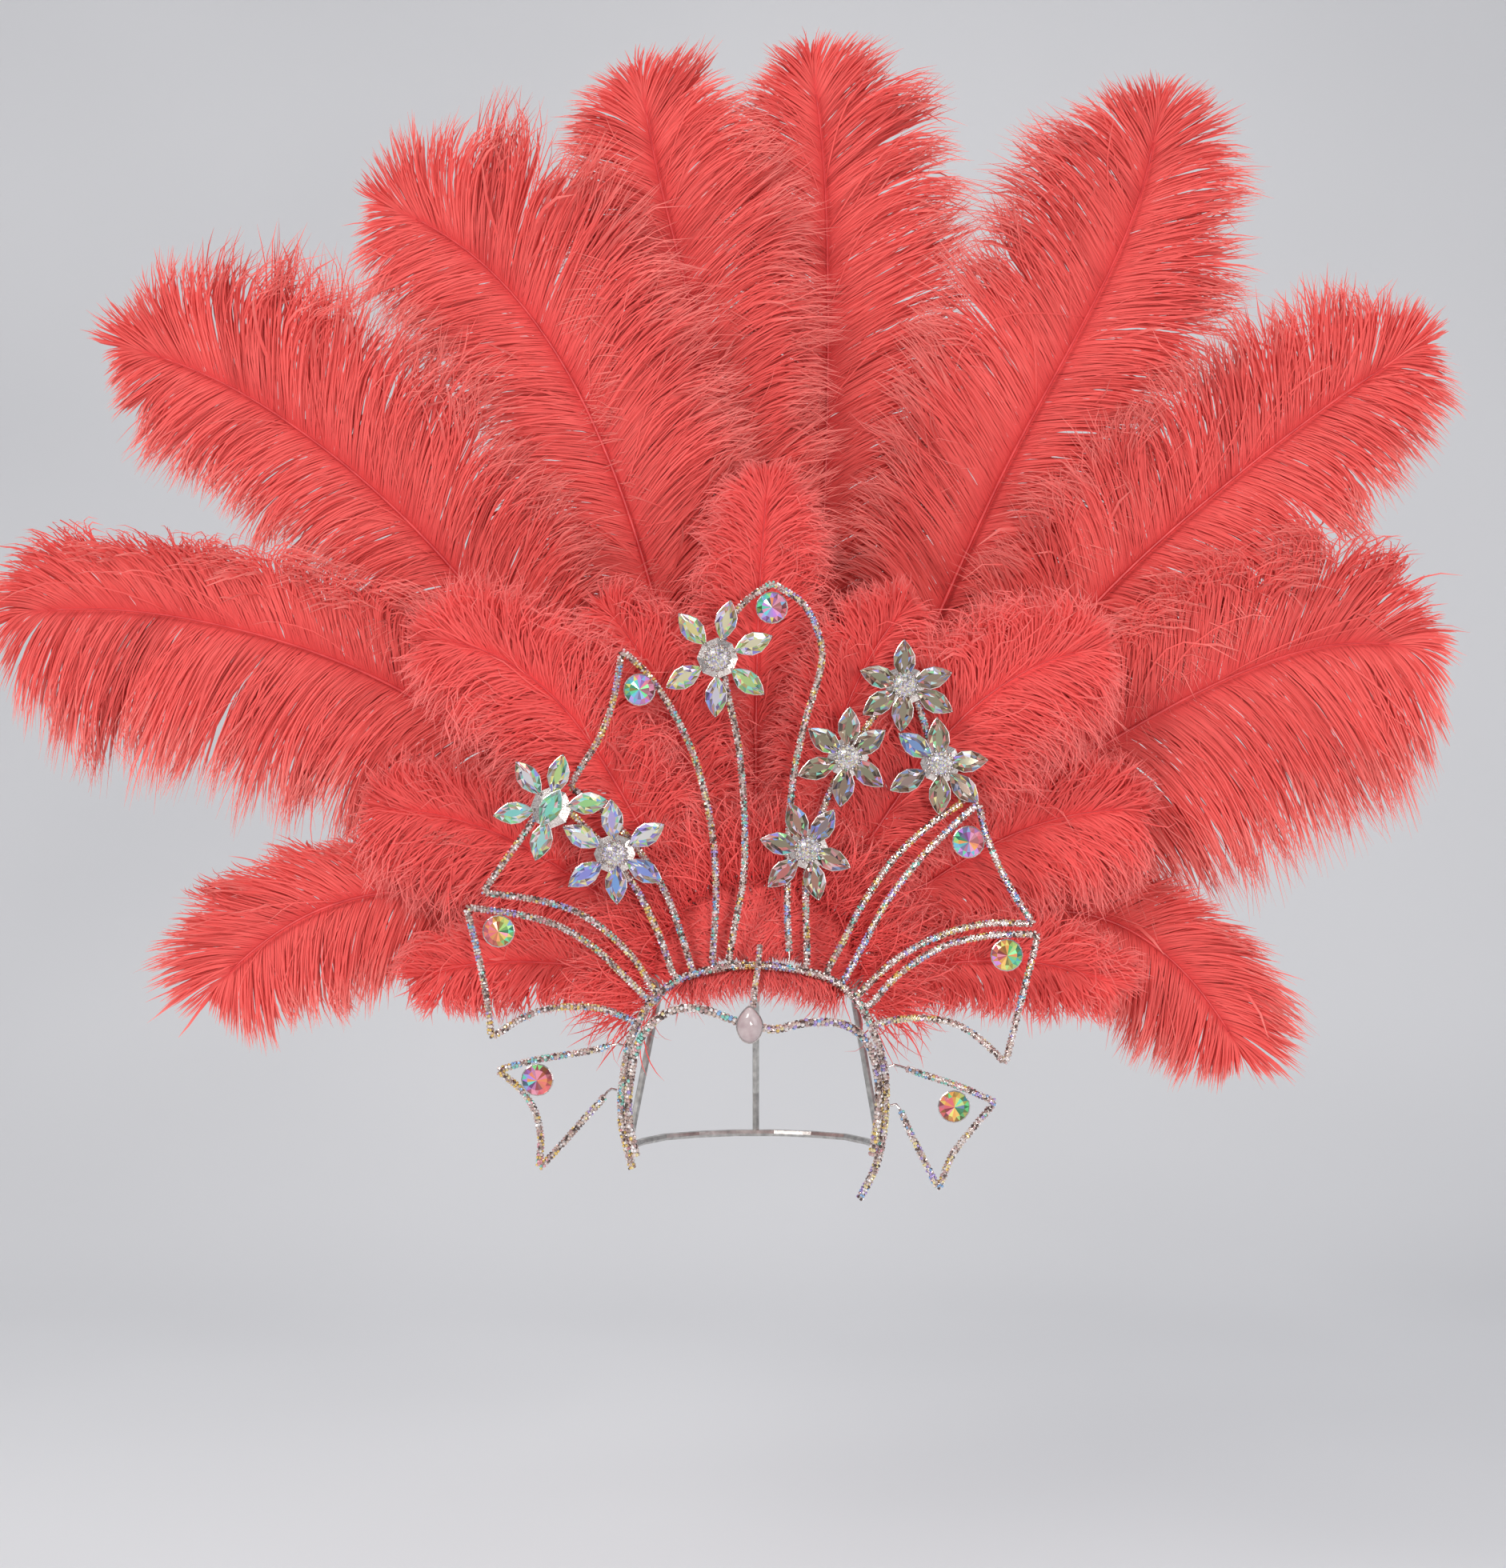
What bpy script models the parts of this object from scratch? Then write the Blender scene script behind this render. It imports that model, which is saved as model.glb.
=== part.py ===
# Showgirl feather headdress: a frame of rhinestone rope with stone flowers, and two ranks of
# ostrich plumes behind it. Metres, +Z up. The origin is the top of the wearer's head, the front
# faces -Y, and left and right are as seen from the front.
import math

import bmesh
import bpy
import numpy as np
from mathutils import Matrix, Vector
from mathutils.bvhtree import BVHTree

MM = 0.001

# Clearance between separate pieces
GAP = 0.3 * MM

# Seating of the stones on the ropes
SLIDE_STEP = 0.1 * MM
SLIDE_STEPS = 500
FRONT_OF_ALL = -30.0 * MM  # y ahead of every rope that carries stones
NEAR_ROPE = 60.0 * MM

# Rhinestone ropes
ARCH_ROPE = 6.0 * MM
PETAL_ROPE = 5.2 * MM
ROPE_STEP = 3.0  # diameters between two points of a rope
FOOT_STUB = 5.0 * MM  # straight start of a petal where it stands on the arch
BARE_WIRE = 1.6 * MM  # end of an ear wing, where the rope is bare
BARE_LENGTH = 12.0 * MM
PETAL_PLANE = -5.0 * MM  # y of the petals at their feet
PETAL_LEAN = 12.0 * MM  # how far back the top of the tallest petal leans
PETAL_STAGGER = 9.0 * MM  # how far the two upper petals stand behind their neighbours
PETAL_TOP = 260.0 * MM
STAGGER_HEIGHT = 50.0 * MM

# Stones
RIVOLI_DIAMETER = 22.0 * MM
RIVOLI_HEIGHT = 7.0 * MM
RIVOLI_GIRDLE = 0.28  # share of its height at which a round stone is widest
NAVETTE_LENGTH = 28.0 * MM
NAVETTE_WIDTH = 15.0 * MM
NAVETTE_HEIGHT = 6.0 * MM
FLOWER_BASE = 28.0 * MM  # diameter of the plate that carries a flower's stones
FLOWER_BASE_THICKNESS = 1.6 * MM
CLUSTER_DIAMETER = 18.0 * MM
CLUSTER_HEIGHT = 8.0 * MM
DROP_WIDTH = 18.0 * MM
DROP_LENGTH = 25.0 * MM
DROP_HEIGHT = 7.5 * MM

# Hidden back frame
BACK_WIRE = 5.0 * MM
HUB_HEIGHT = -5.0 * MM  # z of the centre that both plume bars bend round
BAR_RADIUS = 70.0 * MM
REAR_BAR_Y = 60.0 * MM
FRONT_BAR_Y = 36.0 * MM
BAR_START = -12.0  # degrees from +X
BAR_END = 192.0
TIE_ANGLE = 100.0  # where the tie between the bars stands on the crown strap
SOCKET_DIAMETER = 10.0 * MM
SOCKET_LENGTH = 18.0 * MM
SOCKET_BELOW = 0.3  # share of a socket that lies inside its bar
STEM_CLEARANCE = 0.9 * MM
NAPE_DROP = 118.0 * MM  # how far below the origin the nape band lies
BACK_STEP = 28.0 * MM  # between two points of the nape band or the strap

# Plumes
STEM_WIDTH = 3.4 * MM
PLUME_THICKNESS = 3.4 * MM
EDGE_THICKNESS = 1.4 * MM
REARMOST_LAYER = 150.0 * MM  # y of the rearmost plume once it is clear of the bar
LAYER_PITCH = 16.0 * MM
TUFT_REAR_LAYER = 56.0 * MM
TUFT_PITCH = 11.0 * MM
PLUME_CUP = 9.0 * MM  # how far the edges of a vane stand forward of its quill
TUFT_CUP = 5.0 * MM
LAYER_START = 15.0 * MM  # beyond the bar, where a plume starts to turn into its layer
LAYER_RUN = 65.0 * MM
BOWL_START = 200.0 * MM  # from the hub, where the plumes start to come forward
BOWL_REACH = 650.0 * MM
BOWL_DEPTH = 85.0 * MM  # how far forward they are at the reach
LOCK_NOTCH = 0.80  # width of a vane between two locks, as a share
BARE_STEM = 0.20  # share of a plume's length that is bare stem

CLUSTER_SIDES = 8
RIVOLI_SIDES = 12
WIRE_SIDES = 6

# Arch: (x, y, z) from below the left ear over the head to below the right ear
ARCH_ROUTE = [
    (-84, 8, -128), (-91, 4, -95), (-89, 0, -62), (-83, -3, -36), (-67, -5, -11), (-42, -5, 4),
    (0, -5, 10), (44, -5, 3), (67, -5, -13), (80, -3, -37), (87, 0, -64), (87, 4, -96),
    (82, 8, -125), (71, 12, -149),
]

# Brow strand: (x, y, z) in an M from the left temple to the right one
BROW_ROUTE = [
    (-77, -20, -38), (-60, -34, -20), (-38, -44, -16), (-12, -51, -24), (0, -52, -26),
    (12, -51, -29), (36, -44, -25), (60, -34, -28), (75, -20, -42),
]
BROW_ENDS = (-118, -92)  # z of the stretch at each temple that runs beside the arch
BROW_TEMPLE = -66  # z where the strand meets that stretch

# Center strand: from above the arch, over its front, down to the brow strand
CENTER_ROUTE = [(3, -6, 27), (2, -8.4, 17), (1.5, -11.6, 9.5), (0, -22, 2), (-1, -36, -6), (-2, -46, -15)]

# Nape band (x, y) between the ends of the arch, and crown strap (y, z) from the top of the arch to
# just above the middle of the band, which it ends on
NAPE_ROUTE = [(-86, 45), (-60, 92), (0, 112), (60, 92), (84, 45)]
STRAP_ROUTE = [(25, 8), (62, -1), (94, -35), (112, -80)]

# Petals: feet are (x, z) on the arch, sides are smooth stretches of (x, z) that meet at corners
PETALS = {
    "petal_center": dict(feet=[(-17, 13), (21, 11)], stagger=0, sides=[
        [(-12, 48), (-8, 73), (-8, 116), (-12, 159), (-21, 203), (-22, 230), (-10, 253), (11, 268.5)],
        [(11, 268.5), (32, 254), (43, 232), (44, 211), (33, 173), (25, 135), (22, 94), (21, 50)]]),
    "petal_upper_left": dict(feet=[(-43, 7), (-29, 11)], stagger=1, sides=[
        [(-51, 32), (-62, 60), (-80, 88), (-103, 113), (-126, 130)],
        [(-126, 130), (-120, 141), (-106, 164), (-97, 189), (-91, 223)],
        [(-91, 223), (-74, 207), (-58, 184), (-44, 156), (-35, 127), (-29, 94), (-27, 62), (-28, 34)]]),
    "petal_side_left": dict(feet=[(-67, -7), (-54, 2)], stagger=0, sides=[
        [(-82, 14), (-100, 32), (-121, 46), (-148, 54), (-184, 59)],
        [(-184, 59), (-165, 86), (-152, 105), (-141, 128)],
        [(-141, 128), (-120, 108), (-100, 87), (-81, 62), (-66, 32)]]),
    "petal_lower_left": dict(feet=[(-84, -28), (-74, -11)], stagger=0, sides=[
        [(-101, -20), (-116, -18), (-138, -19), (-158, -26), (-178, -39)],
        [(-178, -39), (-182, -8), (-188, 21), (-195, 49)],
        [(-195, 49), (-159, 44), (-132, 36), (-108, 21), (-92, 6)]]),
    "petal_ear_left": dict(feet=[(-92, -75), (-90, -44)], stagger=0, bare=True, sides=[
        [(-105, -82), (-116, -94), (-131, -111), (-146, -127)],
        [(-146, -127), (-145, -106), (-149, -88), (-159, -73), (-174, -61)],
        [(-174, -61), (-154, -55), (-132, -51), (-108, -47)]]),
    "petal_upper_right": dict(feet=[(34, 10), (47, 2)], stagger=1, sides=[
        [(34, 40), (34, 70), (40, 97), (48, 121), (60, 147), (76, 172), (89, 189), (104, 205)],
        [(104, 205), (112, 181), (120, 156), (130, 137), (141, 120)],
        [(141, 120), (120, 106), (94, 82), (73, 52), (58, 24)]]),
    "petal_side_right": dict(feet=[(58, -1), (68, -10)], stagger=0, sides=[
        [(73, 25), (89, 54), (111, 82), (131, 102), (150, 119)],
        [(150, 119), (155, 98), (165, 74), (176, 54), (187, 38)],
        [(187, 38), (155, 38), (127, 31), (102, 19), (86, 7)]]),
    "petal_lower_right": dict(feet=[(74, -18), (85, -29)], stagger=0, sides=[
        [(89, -3), (103, 9), (127, 23), (158, 30), (190, 31)],
        [(190, 31), (184, 7), (177, -20), (168, -56)],
        [(168, -56), (151, -40), (135, -30), (116, -26), (101, -26)]]),
    "petal_ear_right": dict(feet=[(91, -58), (90, -85)], stagger=0, bare=True, sides=[
        [(111, -63), (138, -72), (161, -82)],
        [(161, -82), (146, -100), (132, -118), (123, -141)],
        [(123, -141), (112, -119), (103, -101)]]),
}

# Large round stones: (x, z) of each, near the tip of its petal
RIVOLIS = {
    "rivoli_center": (11, 251.2),
    "rivoli_upper_left": (-79, 196),
    "rivoli_lower_left": (-173, 33),
    "rivoli_ear_left": (-147, -67),
    "rivoli_side_right": (143, 93),
    "rivoli_lower_right": (169, 15),
    "rivoli_ear_right": (133, -86),
}

# Flowers: (x, z) of the centre and (direction in degrees, reach in mm) of each stone.
# One flower has a stone turned across its centre instead of a cluster.
FLOWERS = {
    "flower_side_left": dict(at=(-138, 116), across=62, stones=[
        (127, 39), (77, 37), (7, 39), (-106, 37), (188, 39)]),
    "flower_mid_left": dict(at=(-95, 85), stones=[
        (94, 37), (31, 39), (-30, 37), (-87, 34), (-145, 38), (152, 39)]),
    "flower_top": dict(at=(-26, 217), stones=[
        (77, 40), (22, 40), (-38, 40), (-92, 40), (210, 40), (131, 40)]),
    "flower_low_right": dict(at=(35, 88), stones=[
        (112, 34), (57, 32), (-23, 31), (-78, 35), (-137, 37), (168, 33)]),
    "flower_mid_right": dict(at=(62, 150), stones=[
        (88, 34), (36, 31), (-40, 31), (-99, 34), (200, 36), (144, 33)]),
    "flower_upper_right": dict(at=(101, 199), stones=[
        (91, 31), (15, 33), (-29, 37), (-95, 32), (215, 35), (162, 32)]),
    "flower_side_right": dict(at=(125, 146), stones=[
        (95, 31), (4, 32), (-47, 37), (-92, 35), (208, 39), (145, 35)]),
}

# Vane of a plume: along = share of its length, width = share of its named width,
# sweep = degrees between a barb and the quill.
VANE_SHAPE = [
    dict(along=0.00, width=0.00, sweep=45),
    dict(along=0.20, width=0.00, sweep=45),
    dict(along=0.26, width=0.40, sweep=46),
    dict(along=0.40, width=0.85, sweep=55),
    dict(along=0.60, width=1.00, sweep=59),
    dict(along=0.80, width=0.95, sweep=55),
    dict(along=0.92, width=0.70, sweep=43),
    dict(along=1.00, width=0.25, sweep=14),
]

# Plumes: socket = degrees round the bar, layer counts from the rear, left and right = barb lengths
# seen from the root towards the tip, droop = share of a barb's length that its end hangs down,
# headings = degrees of the quill at equal steps.
QUILL_POINTS = 121
QUILL_BLUR = 13  # points over which the change of heading is smoothed
PLUMES = [
    dict(name="plume_top_center", socket=68, layer=0, length=572, left=90, right=120,
         droop=0.08, headings=(83, 84, 86, 88, 90, 92, 100)),
    dict(name="plume_top_left", socket=88, layer=1, length=556, left=90, right=110,
         droop=0.08, headings=(95, 96, 96, 97, 99, 106, 98)),
    dict(name="plume_upper_left", socket=108, layer=2, length=540, left=95, right=135,
         droop=0.12, headings=(104, 104, 104, 108, 116, 132, 160)),
    dict(name="plume_left", socket=128, layer=3, length=548, left=80, right=150,
         droop=0.22, headings=(125, 125, 126, 129, 138, 147, 166)),
    dict(name="plume_side_left", socket=148, layer=4, length=512, left=88, right=150,
         droop=0.55, headings=(132, 133, 142, 152, 163, 172, 188)),
    dict(name="plume_low_left", socket=168, layer=5, length=330, left=58, right=95,
         droop=0.42, headings=(155, 157, 163, 180, 193, 213, 228)),
    dict(name="plume_upper_right", socket=50, layer=1, length=592, left=125, right=100,
         droop=0.08, headings=(67, 67, 67, 66, 61, 64, 84)),
    dict(name="plume_right", socket=32, layer=2, length=560, left=128, right=92,
         droop=0.20, headings=(53, 52, 52, 48, 41, 38, 32)),
    dict(name="plume_side_right", socket=14, layer=3, length=442, left=180, right=110,
         droop=0.50, headings=(46, 43, 37, 32, 28, 18, -12)),
    dict(name="plume_low_right", socket=-4, layer=4, length=315, left=84, right=55,
         droop=0.42, headings=(27, 27, 20, -3, -30, -50, -60)),
]

TUFTS = [
    dict(name="tuft_top", socket=90, layer=0, length=272, left=62, right=62,
         droop=0.05, headings=(90, 90, 90, 89, 88, 86, 84)),
    dict(name="tuft_center_left", socket=112, layer=1, length=205, left=58, right=62,
         droop=0.10, headings=(108, 106, 104, 106, 112, 120, 130)),
    dict(name="tuft_center_right", socket=68, layer=1, length=205, left=62, right=58,
         droop=0.10, headings=(72, 74, 76, 74, 68, 60, 50)),
    dict(name="tuft_upper_left", socket=133, layer=2, length=258, left=72, right=80,
         droop=0.15, headings=(120, 119, 119, 123, 134, 152, 172)),
    dict(name="tuft_upper_right", socket=47, layer=2, length=258, left=80, right=75,
         droop=0.15, headings=(58, 57, 56, 52, 42, 28, 10)),
    dict(name="tuft_mid_left", socket=154, layer=0, length=215, left=68, right=72,
         droop=0.20, headings=(148, 146, 146, 150, 158, 168, 180)),
    dict(name="tuft_mid_right", socket=26, layer=0, length=215, left=72, right=68,
         droop=0.20, headings=(32, 34, 34, 30, 22, 12, 0)),
    dict(name="tuft_low_left", socket=176, layer=1, length=160, left=62, right=58,
         droop=0.30, headings=(172, 174, 180, 186, 192, 200, 208)),
    dict(name="tuft_low_right", socket=4, layer=1, length=175, left=58, right=66,
         droop=0.30, headings=(10, 6, 0, -8, -16, -24, -32)),
]
PLUME_ROWS = 12
TUFT_ROWS = 8

# Colours as (base colour, roughness, metallic)
FINISHES = {
    "rhinestone_rope": ((0.62, 0.58, 0.52), 0.18, 0.8),
    "crystal_stone": ((0.70, 0.72, 0.78), 0.08, 0.2),
    "milky_stone": ((0.72, 0.60, 0.62), 0.25, 0.0),
    "back_wire": ((0.60, 0.60, 0.58), 0.35, 0.9),
    "red_plume": ((0.82, 0.07, 0.06), 0.75, 0.0),
    "red_tuft": ((0.86, 0.06, 0.05), 0.80, 0.0),
}


def clear_scene():
    for obj in list(bpy.data.objects):
        bpy.data.objects.remove(obj, do_unlink=True)


def finish_material(name):
    color, roughness, metallic = FINISHES[name]
    material = bpy.data.materials.get(name) or bpy.data.materials.new(name)
    material.use_nodes = True
    shader = material.node_tree.nodes["Principled BSDF"]
    shader.inputs["Base Color"].default_value = (*color, 1.0)
    shader.inputs["Roughness"].default_value = roughness
    shader.inputs["Metallic"].default_value = metallic
    return material


def new_collection(name):
    collection = bpy.data.collections.new(name)
    bpy.context.scene.collection.children.link(collection)
    return collection


def add_object(name, data, collection, finish=None):
    obj = bpy.data.objects.new(name, data)
    collection.objects.link(obj)
    if finish:
        data.materials.append(finish_material(finish))
    return obj


def points_mm(points):
    return np.array(points, float) * MM


def smooth_step(low, high, value):
    share = np.clip((np.asarray(value, float) - low) / (high - low), 0.0, 1.0)
    return share * share * (3.0 - 2.0 * share)


# Routes


def dense_curve(points, steps=24):
    """Catmull-Rom curve through the chosen points."""
    points = np.asarray(points, float)
    padded = np.vstack([2 * points[0] - points[1], points, 2 * points[-1] - points[-2]])
    share = np.linspace(0.0, 1.0, steps, endpoint=False)[:, None]
    pieces = []
    for a, b, c, d in zip(padded, padded[1:], padded[2:], padded[3:]):
        cubic = (3 * b - 3 * c + d - a) * share**3
        pieces.append(0.5 * (2 * b + (c - a) * share + (2 * a - 5 * b + 4 * c - d) * share**2 + cubic))
    return np.vstack([*pieces, points[-1:]])


def even_points(curve, spacing):
    """The curve again with evenly spaced points."""
    along = np.r_[0.0, np.cumsum(np.linalg.norm(np.diff(curve, axis=0), axis=1))]
    count = max(2, round(along[-1] / spacing)) + 1
    places = np.linspace(0.0, along[-1], count)
    return np.column_stack([np.interp(places, along, axis) for axis in curve.T])


def trimmed(curve, start, end):
    """The curve without its first and last stretch of these lengths."""
    along = np.r_[0.0, np.cumsum(np.linalg.norm(np.diff(curve, axis=0), axis=1))]
    inside = (along > start) & (along < along[-1] - end)
    ends = [[np.interp(place, along, axis) for axis in curve.T] for place in (start, along[-1] - end)]
    return np.vstack([ends[0], curve[inside], ends[1]])


def add_tube(name, points, diameter, collection, finish, radii=None):
    curve = bpy.data.curves.new(name, "CURVE")
    curve.dimensions = "3D"
    curve.bevel_depth = diameter / 2
    curve.bevel_resolution = 2
    curve.use_fill_caps = True
    spline = curve.splines.new("POLY")
    spline.points.add(len(points) - 1)
    for index, point in enumerate(points):
        spline.points[index].co = (*point, 1.0)
        spline.points[index].radius = 1.0 if radii is None else radii[index]
    return add_object(name, curve, collection, finish)


ARCH_CURVE = dense_curve(points_mm(ARCH_ROUTE))


def arch_foot(x, z):
    """Nearest point of the arch's axis, and the direction away from the head there."""
    nearest = np.argmin(np.hypot(ARCH_CURVE[:, 0] - x * MM, ARCH_CURVE[:, 2] - z * MM))
    nearest = min(max(nearest, 1), len(ARCH_CURVE) - 2)
    point = ARCH_CURVE[nearest]
    tangent = ARCH_CURVE[nearest + 1] - ARCH_CURVE[nearest - 1]
    outward = np.cross([0.0, 1.0, 0.0], tangent)
    outward /= np.linalg.norm(outward)
    away_from_head = point - np.array([0.0, 0.0, ARCH_CURVE[0, 2]])
    if outward @ away_from_head < 0:
        outward = -outward
    return point, outward


def petal_depth(z, stagger):
    """y of a petal at height z: it leans back, and a staggered one stands behind its neighbours."""
    lean = PETAL_LEAN * smooth_step(STAGGER_HEIGHT, PETAL_TOP, z)
    return PETAL_PLANE + lean + stagger * PETAL_STAGGER * smooth_step(0.0, STAGGER_HEIGHT, z)


def petal_points(petal):
    """Points of a petal's rope from foot to foot, its corners cut by one diameter."""
    sides = []
    for side in petal["sides"]:
        flat = points_mm(side)
        sides.append(np.column_stack([flat[:, 0], petal_depth(flat[:, 1], petal["stagger"]), flat[:, 1]]))
    for index, side_end in ((0, 0), (1, -1)):
        point, outward = arch_foot(*petal["feet"][index])
        foot = point + outward * (ARCH_ROPE / 2 + GAP)
        stub = foot + outward * FOOT_STUB
        if side_end == 0:
            sides[0] = np.vstack([foot, stub, sides[0]])
        else:
            sides[-1] = np.vstack([sides[-1], stub, foot])
    runs = []
    for index, side in enumerate(sides):
        start = 0.0 if index == 0 else PETAL_ROPE
        end = 0.0 if index == len(sides) - 1 else PETAL_ROPE
        runs.append(even_points(trimmed(dense_curve(side), start, end), ROPE_STEP * PETAL_ROPE))
    return np.vstack(runs)


def brow_points():
    """Points of the brow strand, which ends beside the arch at both temples."""
    reach = ARCH_ROPE + GAP
    ends = {}
    for side in (-1, 1):
        column = []
        for z in (*BROW_ENDS, BROW_TEMPLE):
            same_side = ARCH_CURVE[ARCH_CURVE[:, 0] * side > 0]
            axis_point = same_side[np.argmin(np.abs(same_side[:, 2] - z * MM))]
            inward = np.array([-0.8 * side, -0.6, 0.0])
            column.append(axis_point + inward * reach)
        ends[side] = np.array(column)
    route = np.vstack([ends[-1], points_mm(BROW_ROUTE), ends[1][::-1]])
    return even_points(dense_curve(route), ROPE_STEP * ARCH_ROPE)


def center_points(brow):
    """Points of the center strand, which ends at the brow strand."""
    route = points_mm(CENTER_ROUTE)
    brow_axis = even_points(brow, MM)
    nearest = brow_axis[np.argmin(np.linalg.norm(brow_axis - route[-1], axis=1))]
    towards = (route[-1] - nearest) / np.linalg.norm(route[-1] - nearest)
    route = np.vstack([route, nearest + towards * (ARCH_ROPE / 2 + GAP)])
    return even_points(dense_curve(route), 2 * PETAL_ROPE)


# Stones


def stone_mesh(outline, levels):
    """Cut stone that looks along -Y: the outline (x, z), scaled and set forward at each level."""
    shape = bmesh.new()
    rings = []
    for scale, forward in levels:
        rings.append([shape.verts.new((x * scale, -forward, z * scale)) for x, z in outline])
    shape.faces.new(rings[0][::-1])
    shape.faces.new(rings[-1])
    for lower, upper in zip(rings, rings[1:]):
        for index in range(len(outline)):
            after = (index + 1) % len(outline)
            shape.faces.new((lower[index], lower[after], upper[after], upper[index]))
    bmesh.ops.recalc_face_normals(shape, faces=shape.faces)
    return shape


def round_outline(radius, sides):
    angles = [2 * math.pi * index / sides for index in range(sides)]
    return [(radius * math.cos(angle), radius * math.sin(angle)) for angle in angles]


def navette_outline():
    """Eight corners of a pointed oval along X."""
    half = NAVETTE_LENGTH / 2
    wide = NAVETTE_WIDTH / 2
    corners = ((1.0, 0.0), (0.52, 0.72), (0.0, 1.0), (-0.52, 0.72))
    return [(sign * x * half, sign * z * wide) for sign in (1, -1) for x, z in corners]


def pear_outline(sides=12):
    """Pear shape with its point up."""
    outline = []
    for index in range(sides):
        angle = math.pi / 2 + 2 * math.pi * index / sides
        narrow = 1.0 - 0.42 * max(0.0, math.sin(angle)) ** 1.5
        outline.append((DROP_WIDTH / 2 * narrow * math.cos(angle), DROP_LENGTH / 2 * math.sin(angle)))
    return outline


def clearance(tree, at, ropes):
    """Smallest gap between the stone in the search tree, moved to a place, and the ropes."""
    smallest = NEAR_ROPE
    for points, diameter in ropes:
        local = points - at
        for point in local[np.linalg.norm(local, axis=1) < NEAR_ROPE]:
            distance = tree.find_nearest(Vector(point))[3]
            smallest = min(smallest, distance - diameter / 2)
    return smallest


def slide(tree, start, direction, ropes):
    """The last place on the way from start, along a direction, that keeps the gap to the ropes."""
    place = start
    for index in range(1, SLIDE_STEPS):
        moved = start + direction * index * SLIDE_STEP
        if clearance(tree, moved, ropes) < GAP:
            return place
        place = moved
    return None


def seat_stone(mesh, x, z, ropes):
    """Where a stone rests: pushed back onto the rope behind it or, with none there, against the nearest."""
    tree = BVHTree.FromPolygons(
        [vertex.co for vertex in mesh.vertices], [polygon.vertices for polygon in mesh.polygons]
    )
    front = np.array([x, FRONT_OF_ALL, z])
    seat = slide(tree, front, np.array([0.0, 1.0, 0.0]), ropes)
    if seat is not None:
        return seat
    axes = np.vstack([points for points, diameter in ropes])
    flat = np.hypot(axes[:, 0] - x, axes[:, 2] - z)
    nearest = axes[np.argmin(flat)]
    beside = np.array([x, nearest[1] + RIVOLI_GIRDLE * RIVOLI_HEIGHT, z])
    sideways = np.array([nearest[0] - x, 0.0, nearest[2] - z]) / flat.min()
    return slide(tree, beside, sideways, ropes)


def turned_copy(shape, degrees, location):
    """The stone turned about Y, at its place, as a mesh."""
    turn = Matrix.Rotation(-math.radians(degrees), 4, "Y")
    bmesh.ops.transform(shape, matrix=Matrix.Translation(location) @ turn, verts=shape.verts)
    mesh = bpy.data.meshes.new("stone")
    shape.to_mesh(mesh)
    shape.free()
    return mesh


def join_meshes(meshes, name):
    shape = bmesh.new()
    for mesh in meshes:
        shape.from_mesh(mesh)
        bpy.data.meshes.remove(mesh)
    joined = bpy.data.meshes.new(name)
    shape.to_mesh(joined)
    shape.free()
    return joined


def boolean(target, other, operation):
    """Applies an exact Boolean of two mesh objects to the first and removes the second."""
    modifier = target.modifiers.new(operation, "BOOLEAN")
    modifier.operation = operation
    modifier.solver = "EXACT"
    modifier.object = other
    bpy.context.view_layer.update()
    graph = bpy.context.evaluated_depsgraph_get()
    result = bpy.data.meshes.new_from_object(target.evaluated_get(graph))
    target.modifiers.clear()
    old = target.data
    result.name = target.name
    target.data = result
    bpy.data.meshes.remove(old)
    bpy.data.objects.remove(other, do_unlink=True)


def add_rivoli(name, x, z, ropes, collection):
    outline = round_outline(RIVOLI_DIAMETER / 2, RIVOLI_SIDES)
    levels = ((0.80, 0.0), (1.0, RIVOLI_GIRDLE * RIVOLI_HEIGHT), (0.22, RIVOLI_HEIGHT))
    mesh = turned_copy(stone_mesh(outline, levels), 0.0, (0.0, 0.0, 0.0))
    rivoli = add_object(name, mesh, collection, "crystal_stone")
    rivoli.location = seat_stone(mesh, x, z, ropes)
    return rivoli


def add_flower(name, flower, ropes, collection):
    navette_levels = ((1.0, 0.0), (0.42, NAVETTE_HEIGHT))
    stones = []
    for degrees, reach in flower["stones"]:
        middle = reach * MM - NAVETTE_LENGTH / 2
        angle = math.radians(degrees)
        place = (middle * math.cos(angle), 0.0, middle * math.sin(angle))
        stones.append(turned_copy(stone_mesh(navette_outline(), navette_levels), degrees, place))
    base = FLOWER_BASE / 2
    cluster = CLUSTER_DIAMETER / 2
    profile = [(1.0, 0.0), (1.0, FLOWER_BASE_THICKNESS)]
    if "across" in flower:
        profile += [(0.5, 0.6 * NAVETTE_HEIGHT)]
    else:
        profile += [(cluster / base, 0.5 * CLUSTER_HEIGHT), (0.5 * cluster / base, CLUSTER_HEIGHT)]
    middle_mesh = turned_copy(stone_mesh(round_outline(base, CLUSTER_SIDES), profile), 0.0, (0.0, 0.0, 0.0))
    body = add_object(name, middle_mesh, collection, "crystal_stone")
    boolean(body, add_object("stones", join_meshes(stones, "stones"), collection), "UNION")
    if "across" in flower:
        levels = ((0.9, 0.4 * NAVETTE_HEIGHT), (1.0, 0.8 * NAVETTE_HEIGHT), (0.42, 1.7 * NAVETTE_HEIGHT))
        stone = turned_copy(stone_mesh(navette_outline(), levels), flower["across"], (0.0, 0.0, 0.0))
        boolean(body, add_object("stone_across", stone, collection), "UNION")
    x, z = flower["at"]
    body.location = seat_stone(body.data, x * MM, z * MM, ropes)
    return body


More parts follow.
